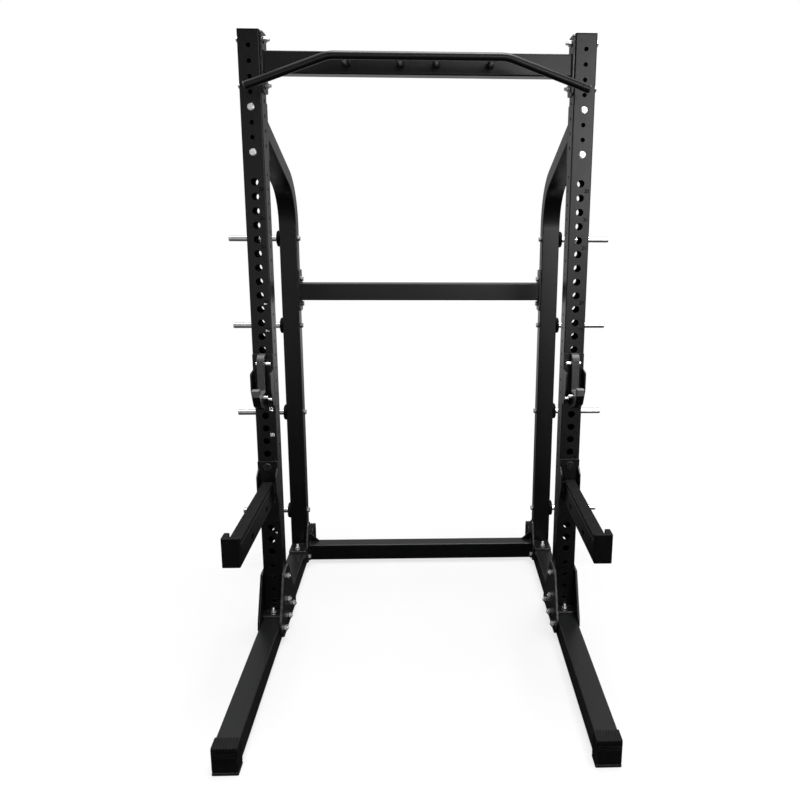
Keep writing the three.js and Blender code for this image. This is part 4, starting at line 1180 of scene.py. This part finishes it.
def bolt_nut(stud, radius=WASHER_R):
    """Washer, nut and the thread that sticks out, which has one ridge for each turn."""
    bm = new_shape()
    add_washer(bm, radius, GAP, 1)
    add_hexagon(bm, GAP + WASHER, 1)
    profile = [(0, 0)]
    for i in range(int(stud / THREAD_STEP)):
        root = i * THREAD_STEP
        profile += [(root, BOLT_R - THREAD_DEPTH), (root + THREAD_STEP / 2, BOLT_R)]
    profile += [(stud - 0.6, BOLT_R - 0.6), (stud, BOLT_R - 1.6), (stud, 0)]
    add_turned(bm, profile, (0, 0, GAP + WASHER + HEAD_HIGH), (0, 0, 1), 20)
    return to_mesh(bm)


def bolt_shank():
    bm = new_shape()
    add_turned(bm, [(0, 0), (0, BOLT_R), (1, BOLT_R), (1, 0)], (0, 0, 0), (0, 0, 1), 20)
    return to_mesh(bm)


head = bolt_head()
nuts = {"short": bolt_nut(4, COLLAR_R), "usual": bolt_nut(9), "long": bolt_nut(15)}
shank = bolt_shank()
print("faces of a head:", len(head.polygons), "and of a nut:", len(nuts["usual"].polygons))


def bolts(spans, nut="usual"):
    """Bolts from a head at the first place to a nut at the second."""
    bm = new_shape()
    heads, ends, shanks = [], [], []
    for start, end in spans:
        start, end = Vector(start), Vector(end)
        way = (end - start).normalized()
        heads.append((start, way, 1))
        ends.append((end, way, 1))
        shanks.append((start - way * WASHER, way, (end - start).length + 2 * WASHER))
    for part, spots in ((head, heads), (nuts[nut], ends), (shank, shanks)):
        bm.from_mesh(set_on_points(part, spots))
    return bm


def heads_only(spots):
    return new_shape(set_on_points(head, [(place, way, 1) for place, way in spots]))


# %% Bolts of each side
ARM_BOLTS = {"low": TOP_ROW, "high": TOP_ROW + 3 * HOLE_STEP}
BEAM_BOLTS = {"low": TOP_Z - 75, "high": TOP_Z + 75}
BASE_BOLTS = {"front": -20, "rear": 489}


def settle_bolt(name, label, start, end, nut="usual"):
    """One bolt that is a node of its own."""
    settle(f"{name}_fitted_{label}", bolts([(start, end)], nut), "zinc",
           nodes=[f"{name}_{label}"], side=SIDES[label])


for label, side in SIDES.items():
    face = side * GUSSET_FACE
    spans = [((face, y, z), (-face, y, z)) for y, z in GUSSET_BOLTS]
    settle(f"gusset_bolts_{label}", bolts(spans, "short"), "zinc", side=side)
    for which, z in ARM_BOLTS.items():
        settle_bolt(f"arm_bolt_{which}", label, (0, 0, z), (0, ARM_FACE, z))
    inside = -side * (HALF + GAP + END_PLATE)
    for which, z in BEAM_BOLTS.items():
        settle_bolt(f"beam_bolt_{which}", label, (side * HALF, HALF, z), (inside, HALF, z))
    for which, y in BASE_BOLTS.items():
        settle_bolt(f"base_bolt_{which}", label, (0, y, FOOT_LIFT), (0, y, BASE_TOP), "long")
    settle(f"peg_bolt_heads_{label}",
           heads_only([((-side * HALF, REAR_MIDDLE, z), (side, 0, 0)) for z in PEG_HEIGHTS]),
           "zinc", side=side)

# %% Bolts of the crossmembers
MEMBER_BOLTS = {
    "middle": [(REAR_MIDDLE, MIDDLE_Z - 55), (REAR_MIDDLE, MIDDLE_Z + 55)],
    "floor": [(515, 45), (640, 45)]}

for name, places in MEMBER_BOLTS.items():
    face = TUBE_END - GAP
    spots = [((side * face, y, z), (side, 0, 0)) for side in (-1, 1) for y, z in places]
    settle(f"beam_{name}_bolt_heads", heads_only(spots), "zinc")

# %% [markdown]
# ## Welds
# Where a tube meets its plate there is a bead of weld. It is laid as a row of overlapping drops,
# so it is grown the same way: the joint's line is cut into equal steps and a small round drop,
# each a little different, is set on every step. A drop has a few dozen faces, which is enough.

# %% The weld tree
def weld_tree():
    graph, given = new_growth("weld bead", {
        "Step": "Float", "Size": "Float", "Seed": "Int"})
    path = graph.add("GeometryNodeMeshToCurve", sockets={"Mesh": given["Geometry"]})
    steps = graph.add("GeometryNodeResampleCurve", {"mode": "LENGTH"}, {
        "Curve": path.outputs["Curve"], "Length": given["Step"]})
    drop = graph.add("GeometryNodeMeshIcoSphere", sockets={
        "Radius": given["Size"], "Subdivisions": 2})
    change = graph.add("FunctionNodeRandomValue", {"data_type": "FLOAT_VECTOR"}, {
        0: (0.85, 0.85, 0.85), 1: (1.12, 1.12, 1.12), "Seed": given["Seed"]})
    placed = copies(graph, steps.outputs["Curve"], drop.outputs["Mesh"], {
        "Scale": change.outputs[0]})
    return close_growth(graph, given, placed)


weld_bead = weld_tree()


def weld(name, lines, body="rack", side=0, lift=0, painted_highlight=0):
    """Beads along lines, which are (points, closed). The last argument paints the beads paler, as a
    painted highlight.
    """
    values = {"Step": 3.0, "Size": 2.8, "Seed": 7, "Finish": black_paint}
    bm = new_shape(grow(weld_bead, values, polyline(lines)))
    mark(bm, painted_highlight)
    settle(name, bm, "black_paint", body=body, side=side, lift=lift, smooth=60)


def weld_across(y, z):
    """A straight bead across a tube, which stops short of the tube's rounded corners."""
    return [(-30, y, z), (30, y, z)], False


# %% Welds of the frame
arm_middle = ARM_Z - (ARM_FACE - POST) * math.tan(ARM_SLOPE)
arm_half = REAR_DEPTH / 2 / math.cos(ARM_SLOPE)
for label, side in SIDES.items():
    weld(f"welds_{label}", [
        weld_across(-1, BASE_TOP + 1), weld_across(POST + 1, BASE_TOP + 1),
        weld_across(REAR_MIDDLE - REAR_DEPTH / 2 - 1, BASE_TOP + 1),
        weld_across(REAR_MIDDLE + REAR_DEPTH / 2 + 1, BASE_TOP + 1),
        weld_across(ARM_FACE + 1, arm_middle + arm_half + 1),
        weld_across(ARM_FACE + 1, arm_middle - arm_half - 1),
    ], side=side)

# Each tube's outline in Y and Z, up to 1 mm outside its faces
beam_ends = {
    "top": rectangle(14, 76, 2111.5, 2188.5, 6),
    "middle": rectangle(537, 599, 1260.4, 1337.4, 6),
    "floor": rectangle(537, 599, 14.5, 91, 6)}
for name, corners in beam_ends.items():
    x = TUBE_END - 1
    loops = [([(side * x, p.x, p.y) for p in outline(corners)], True) for side in (-1, 1)]
    weld(f"beam_{name}_welds", loops)

circle = [(STUB_R * math.cos(a), STUB_R * math.sin(a)) for a in (math.pi * k / 12 for k in range(24))]
rings = [([(x + u, y, BAR_Z + v) for u, v in circle], True) for x in STUBS
         for y in (STUB_ROOT - 1, BAR_Y + 9)]
weld("stub_welds", rings)

# %% [markdown]
# ## J-cups
# A J-cup carries the loaded bar. A bent plate hugs the face of the upright, with a cheek folded
# forward on each side, and the thick hook stands out of its middle. A pin on its back drops into
# one numbered hole. Grey plastic lines the hook and folds over its nose, held by bolts from the
# side. Everything here rides on the J-cup's own body, because it pulls out of the upright.

# %% J-cup steel
CUP_HEIGHT = FIRST_PIN + 14 * HOLE_STEP
CUP_SHEET = 5
CUP_FACE = -GAP - CUP_SHEET
CUP_LOW = -107
CUP_TOP = 87
ROOT = CUP_FACE + 1
HOOK_HALF = 13.5
HOOK_TOP = 79
HOOK_STEM = -34
HOOK_FLOOR = -55
NOSE_BACK = -117
NOSE_FRONT = -125
NOSE_TOP = -27
HOOK_BEND = 8
PIN_R = 11.6
PIN_END = 70
CHEEK_OUTLINE = [(ROOT, 28, 2), (-50, 22, 6), (-50, -45, 6), (-22, CUP_LOW, 4), (ROOT, CUP_LOW)]
HOOK_OUTLINE = [(ROOT, HOOK_TOP), (HOOK_STEM + HOOK_BEND, HOOK_TOP, 2),
                (HOOK_STEM, HOOK_TOP - HOOK_BEND, 2),
                (HOOK_STEM, HOOK_FLOOR, 8), (NOSE_BACK, HOOK_FLOOR, 8), (NOSE_BACK, NOSE_TOP, 1),
                (NOSE_FRONT, NOSE_TOP, 1), (NOSE_FRONT, -48, 3), (-108, -85, 10), (-50, -112, 10),
                (ROOT, CUP_LOW)]
# Each bolt as its inner end, outer end, Y, Z and radius, the ends counted from the hook's middle
CUP_BOLTS = ((31.5, 21.5, -20, 52, 7), (27.5, 16.5, -62, -63, 7), (36.5, -22, -40, -76, 6))


def j_cup_steel():
    bm = new_shape()
    add_plate(bm, rectangle(-HALF, HALF, CUP_LOW, CUP_TOP, 5), facing, CUP_FACE, -GAP, 1)
    for x in (-HALF, HALF - CUP_SHEET):
        add_plate(bm, CHEEK_OUTLINE, standing_across, x, x + CUP_SHEET, 1)
    add_plate(bm, HOOK_OUTLINE, standing_across, -HOOK_HALF, HOOK_HALF, 1.2)
    return bm


def j_cup_bolts(out):
    """The bolts through the hook and the pin on its back. `out` is the rack's outer side."""
    bm = new_shape()
    for inner, outer, y, z, radius in CUP_BOLTS:
        start = (-out * inner, y, z)
        add_turned(bm, rounded_rod(inner + outer, radius, 1.2), start, (out, 0, 0), 28)
    add_turned(bm, rounded_rod(PIN_END + CUP_SHEET, PIN_R, 2), (0, -CUP_SHEET, 0), (0, 1, 0), 36)
    return bm


# %% J-cup lining
LINING = 8
LINING_HALF = 13
LINING_END = -43
NOSE_HIGHLIGHT_BEYOND = -108


def j_cup_lining():
    """Plastic all along the hook's inner line. The nose, where the bar lands, is marked, which paints
    it paler as a painted highlight.
    """
    bm = new_shape()
    root = CUP_FACE - GAP
    top = HOOK_TOP + GAP
    stem = HOOK_STEM - GAP
    bend = top - HOOK_BEND
    floor = HOOK_FLOOR + GAP
    back = NOSE_BACK + GAP
    crest = NOSE_TOP + GAP
    front = NOSE_FRONT - GAP
    corners = [(root, top), (root, top + LINING, 2), (stem + 7, top + LINING, 8),
               (stem - LINING, bend, 8), (stem - LINING, floor + LINING, 8),
               (back + LINING, floor + LINING, 8), (back + LINING, crest + LINING, 4),
               (front - LINING, crest + LINING, 4), (front - LINING, LINING_END, 1),
               (front, LINING_END), (front, crest), (back, crest), (back, floor, 8),
               (stem, floor, 8), (stem, bend), (stem + HOOK_BEND, top)]
    add_plate(bm, corners, standing_across, -LINING_HALF, LINING_HALF, 1.2)
    nose = [face for face in bm.faces if face.calc_center_median().y < NOSE_HIGHLIGHT_BEYOND]
    mark(bm, 1, nose)
    return bm


for label, side in SIDES.items():
    place = {"body": f"j_cup_{label}", "side": side, "lift": CUP_HEIGHT}
    settle(f"cup_steel_{label}", j_cup_steel(), "black_paint",
           nodes=[f"j_cup_bracket_{label}"], **place)
    settle(f"cup_bolts_{label}", j_cup_bolts(side), "zinc", **place)
    settle(f"cup_lining_{label}", j_cup_lining(), "grey_plastic",
           nodes=[f"j_cup_liner_{label}"], **place)

# %% [markdown]
# ## Spotter arms
# A spotter arm catches the bar when a lift fails. It is a stout tube that stands out from a tall
# plate with two pins. A plastic strip on top takes the bar, and a block closes the front end. Two
# slots with round ends are cut in its inner side.

# %% Spotter arm steel
ARM_HEIGHT = FIRST_PIN + 7 * HOLE_STEP
ARM_TOP = -69
ARM_REACH = 470
ARM_HALF = 20
ARM_CORNER = 5
BACK_SHEET = 6
BACK_Z = (-220, 23)
BACK_FACE = -GAP - BACK_SHEET
EAR_SHEET = 5
EAR_ROOT = BACK_FACE + 1
EAR_OUTLINE = [(EAR_ROOT, -6), (-36, -28, 5), (-36, -88, 5), (EAR_ROOT, -160)]
SLOT_PLACES = (-129, -333)
SLOT_HALF_LONG = 15
SLOT_HALF_HIGH = 9
SLOT_Z = -114
SLOT_DEEP = 8
BOSS = [(0, 0), (0, 16.5), (5, 16.5), (7, 14.5), (7, 0)]
# How much paler the boss is painted, a painted highlight
BOSS_HIGHLIGHT = 0.4


def slot_cutter(out, y):
    bm = new_shape()
    corners = rectangle(y - SLOT_HALF_LONG, y + SLOT_HALF_LONG, SLOT_Z - SLOT_HALF_HIGH,
                        SLOT_Z + SLOT_HALF_HIGH, SLOT_HALF_HIGH)
    inner_end = ARM_HALF - SLOT_DEEP
    outer_end = ARM_HALF + CUT_PAST
    add_plate(bm, corners, standing_across, -out * inner_end, -out * outer_end, 0)
    return to_mesh(bm)


def spotter_steel(out):
    bm = new_shape()
    middle = ARM_TOP - POST / 2
    path = [Vector((0, -ARM_REACH, middle)), Vector((0, BACK_FACE, middle))]
    add_tube(bm, path, ACROSS, 2 * ARM_HALF, POST, ARM_CORNER)
    bm = carved(bm, *(slot_cutter(out, y) for y in SLOT_PLACES))
    add_plate(bm, rectangle(-HALF, HALF, *BACK_Z, 5), facing, BACK_FACE, -GAP, 1)
    for x in (-HALF, HALF - EAR_SHEET):
        add_plate(bm, EAR_OUTLINE, standing_across, x, x + EAR_SHEET, 1)
    # The boss is marked, which paints it paler: a painted highlight
    before = set(bm.faces)
    add_turned(bm, BOSS, (0, BACK_FACE, 0), (0, -1, 0), 6)
    mark(bm, BOSS_HIGHLIGHT, set(bm.faces) - before)
    return bm


def spotter_pins():
    bm = new_shape()
    for z in (0, -4 * HOLE_STEP):
        add_turned(bm, rounded_rod(PIN_END + BACK_SHEET, PIN_R, 2), (0, -BACK_SHEET, z), (0, 1, 0), 36)
    return bm


# %% Spotter arm plastics
STRIP = 12
STRIP_BACK = -13
BLOCK_Z = (-143, -44)
BLOCK_FRONT = 16
BLOCK_WING = 18
BLOCK_BACK = 26
# The welds at the arm's root are painted paler, a painted highlight
ARM_WELD_HIGHLIGHT = 0.7


def spotter_strip():
    bm = new_shape()
    low = ARM_TOP + GAP
    top = low + STRIP
    profile = [(-ARM_HALF, low), (ARM_HALF, low), (ARM_HALF, top, 3), (-ARM_HALF, top, 3)]
    add_plate(bm, profile, facing, -ARM_REACH, STRIP_BACK, 2)
    return bm


def spotter_block(out):
    """A boot that covers the arm's end and runs back a little along its outer side."""
    bm = new_shape()
    rear = -ARM_REACH - GAP
    front = rear - BLOCK_FRONT
    back = rear + BLOCK_BACK
    wing = ARM_HALF + GAP
    outside = wing + BLOCK_WING
    corners = [(-ARM_HALF, front, 6), (outside, front, 6), (outside, back, 3), (wing, back),
               (wing, rear), (-ARM_HALF, rear)]
    turned = [(out * corner[0], *corner[1:]) for corner in corners]
    add_plate(bm, turned, lying, *BLOCK_Z, 3)
    return bm


for label, side in SIDES.items():
    place = {"body": f"spotter_{label}", "side": side, "lift": ARM_HEIGHT}
    settle(f"arm_steel_{label}", spotter_steel(side), "black_paint",
           nodes=[f"spotter_arm_{label}"], smooth=CARVED_SMOOTH, **place)
    settle(f"arm_pins_{label}", spotter_pins(), "zinc", **place)
    settle(f"arm_strip_{label}", spotter_strip(), "black_plastic",
           nodes=[f"spotter_strip_{label}"], **place)
    settle(f"arm_block_{label}", spotter_block(side), "black_plastic",
           nodes=[f"spotter_block_{label}"], **place)
    loop = outline(rectangle(-ARM_HALF - 1, ARM_HALF + 1, ARM_TOP - POST - 1, ARM_TOP + 1, 5))
    bead = [(p.x, BACK_FACE - 1, p.y) for p in loop]
    weld(f"arm_welds_{label}", [(bead, True)], painted_highlight=ARM_WELD_HIGHLIGHT, **place)

# %% [markdown]
# ## Stage
# The rack stands on a plain pale floor that fades into a white background. Near the rack the
# floor is a quarter lit surface and the rest plain white, so a soft shadow stays under the feet.
# Far away it is all white, so no horizon shows. Black paint shows little but what it mirrors, so
# mirrored rays see a hall around the rack: a pale wall behind it, a level lit band in front with a
# bright window on the right, a lit ceiling, and a floor that is dark close by. The camera sees
# plain white there, and all other rays see a faint even grey.

# %% What rays see
def seen_share(graph, mirrored):
    """1 for camera rays and `mirrored` for mirrored and refracted ones, else 0."""
    rays = graph.add("ShaderNodeLightPath").outputs
    bounced = Amount(graph, rays["Is Glossy Ray"]) + rays["Is Transmission Ray"]
    return Amount(graph, rays["Is Camera Ray"]) + bounced * mirrored


def between(graph, value, start, end, low, high):
    """A value mapped from start..end to low..high, and held at those beyond."""
    node = graph.add("ShaderNodeMapRange", sockets={
        "Value": value, "From Min": start, "From Max": end, "To Min": low, "To Max": high})
    return Amount(graph, node.outputs["Result"])


def part_of(graph, vector, axis):
    return graph.add("ShaderNodeSeparateXYZ", sockets={"Vector": vector}).outputs[axis]


# %% Floor
FLOOR_HALF = 14
UNSEEN_GREY = (0.03, 0.03, 0.03)
SEEN_GREY = (0.74, 0.74, 0.74)
# The share of the floor that is plain white, near the rack and far from it, and how bright that
# is in mirrored rays. Each changes between the two distances, in metres, that are named after it.
WHITE = (0.75, 1)
WHITE_WHERE = (2, 4.5)
MIRRORED = (0.004, 0.8)
MIRRORED_WHERE = (0.8, 7)


def stage_white():
    material = bpy.data.materials.new("stage white")
    graph = fresh_graph(material)
    place = graph.add("ShaderNodeTexCoord").outputs["Object"]
    distance = graph.add("ShaderNodeVectorMath", {"operation": "LENGTH"}, {0: place}).outputs["Value"]
    shown = graph.add("ShaderNodeLightPath").outputs["Is Camera Ray"]
    tone = blend_colours(graph, shown, UNSEEN_GREY, SEEN_GREY)
    lit = graph.add("ShaderNodeBsdfDiffuse", sockets={"Color": tone})
    plain = graph.add("ShaderNodeEmission", sockets={"Color": (1, 1, 1, 1), "Strength": 1.0})
    seen = seen_share(graph, between(graph, distance, *MIRRORED_WHERE, *MIRRORED))
    white = seen * between(graph, distance, *WHITE_WHERE, *WHITE)
    mixed = graph.add("ShaderNodeMixShader", sockets={
        0: white, 1: lit.outputs["BSDF"], 2: plain.outputs["Emission"]})
    graph.add("ShaderNodeOutputMaterial", sockets={"Surface": mixed.outputs["Shader"]})
    return material


floor_mesh = bpy.data.meshes.new("floor")
floor_corners = [(x * FLOOR_HALF, y * FLOOR_HALF, 0) for x, y in ((-1, -1), (1, -1), (1, 1), (-1, 1))]
floor_mesh.from_pydata(floor_corners, [], [(0, 1, 2, 3)])
floor_mesh.materials.append(stage_white())
floor = in_scene(floor_mesh, "floor")

# %% World
# Levels of light, and where each begins and ends in the parts of a ray's direction: a height is
# its Z, from -1 to 1
DARK = 0.04
BAND = 1
BAND_HEIGHT = -0.08
BAND_FADE = (0, 0.36)
WINDOW = 9
WINDOW_WAY = (0.28, -0.95, 0.12)
WINDOW_FADE = (0.03, 0.3)
BACK_WALL = 0.38
BACK_WALL_Y = (-0.3, 0.1)
CEILING = 0.6
CEILING_HEIGHTS = (0.3, 0.8)
ZENITH = 1.6
ZENITH_HEIGHTS = (0.88, 0.98)

world = bpy.data.worlds.new("studio")
bpy.context.scene.world = world
studio = fresh_graph(world)
ray_way = studio.add("ShaderNodeTexCoord").outputs["Generated"]
height = Amount(studio, part_of(studio, ray_way, "Z"))
to_window = studio.add("ShaderNodeVectorMath", {"operation": "DISTANCE"}, {
    0: ray_way, 1: WINDOW_WAY}).outputs["Value"]
band = between(studio, abs(height - BAND_HEIGHT), *BAND_FADE, BAND, DARK)
front = band + between(studio, to_window, *WINDOW_FADE, WINDOW, 0)
towards_back = between(studio, part_of(studio, ray_way, "Y"), *BACK_WALL_Y, 0, 1)
ceiling = between(studio, height, *CEILING_HEIGHTS, 0, CEILING)
zenith = between(studio, height, *ZENITH_HEIGHTS, 0, ZENITH)
hall = front + (BACK_WALL - front) * towards_back + (ceiling + zenith)
level = seen_share(studio, hall) * (1 - DARK) + DARK
back = studio.add("ShaderNodeBackground", sockets={"Color": (1, 1, 1, 1), "Strength": level})
studio.add("ShaderNodeOutputWorld", sockets={"Surface": back.outputs["Background"]})

# %% [markdown]
# ## Lamps and camera
# The photograph was taken indoors under broad light from above, which is a wide, soft sun here.
# A weak lamp in front on the right adds its own soft gleam to what the world shows there. The
# camera stands where the rack's own holes and edges say the photographer stood: its place, turn
# and lens come from fitting those points.

# %% Lamps
AIM = Vector((0, 0, 1.1))


def lamp(name, kind, place, energy, **settings):
    data = bpy.data.lights.new(name, kind)
    data.energy = energy
    for setting, value in settings.items():
        setattr(data, setting, value)
    thing = in_scene(data, name)
    thing.location = place
    thing.rotation_euler = (AIM - Vector(place)).to_track_quat("-Z", "Y").to_euler()


lamp("overhead", "SUN", (0.25, -0.05, 4.6), 4.4, angle=0.6)
lamp("high right", "AREA", (1.5, -3.2, 2.3), 8, shape="ELLIPSE", size=1.0, size_y=1.6)

# %% Camera
FOCAL_PIXELS = 670.67
CENTRE_PIXELS = (446.46, 337.85)
STAND = (0.02031, -2.46082, 1.65532)
YAW, TILT, ROLL = -0.03269, -0.18785, -0.00496
IMAGE = 800

camera_data = bpy.data.cameras.new("camera")
camera_data.sensor_width = 36
camera_data.lens = FOCAL_PIXELS / IMAGE * camera_data.sensor_width
camera_data.shift_x = (IMAGE / 2 - CENTRE_PIXELS[0]) / IMAGE
camera_data.shift_y = (CENTRE_PIXELS[1] - IMAGE / 2) / IMAGE
camera = in_scene(camera_data, "camera")
turn = (Matrix.Rotation(YAW, 4, "Z") @ Matrix.Rotation(TILT, 4, "X") @ Matrix.Rotation(ROLL, 4, "Y")
        @ Matrix.Rotation(math.pi / 2, 4, "X"))
camera.matrix_world = Matrix.Translation(STAND) @ turn
bpy.context.scene.camera = camera
bpy.context.scene.view_settings.view_transform = "Standard"

# %% [markdown]
# ## The last lines
# The dressed rack must be as large as the CAD model. The last lines remove the meshes that nothing
# uses any more.

# %% Finish
for mesh in list(bpy.data.meshes):
    if mesh.users == 0:
        bpy.data.meshes.remove(mesh)
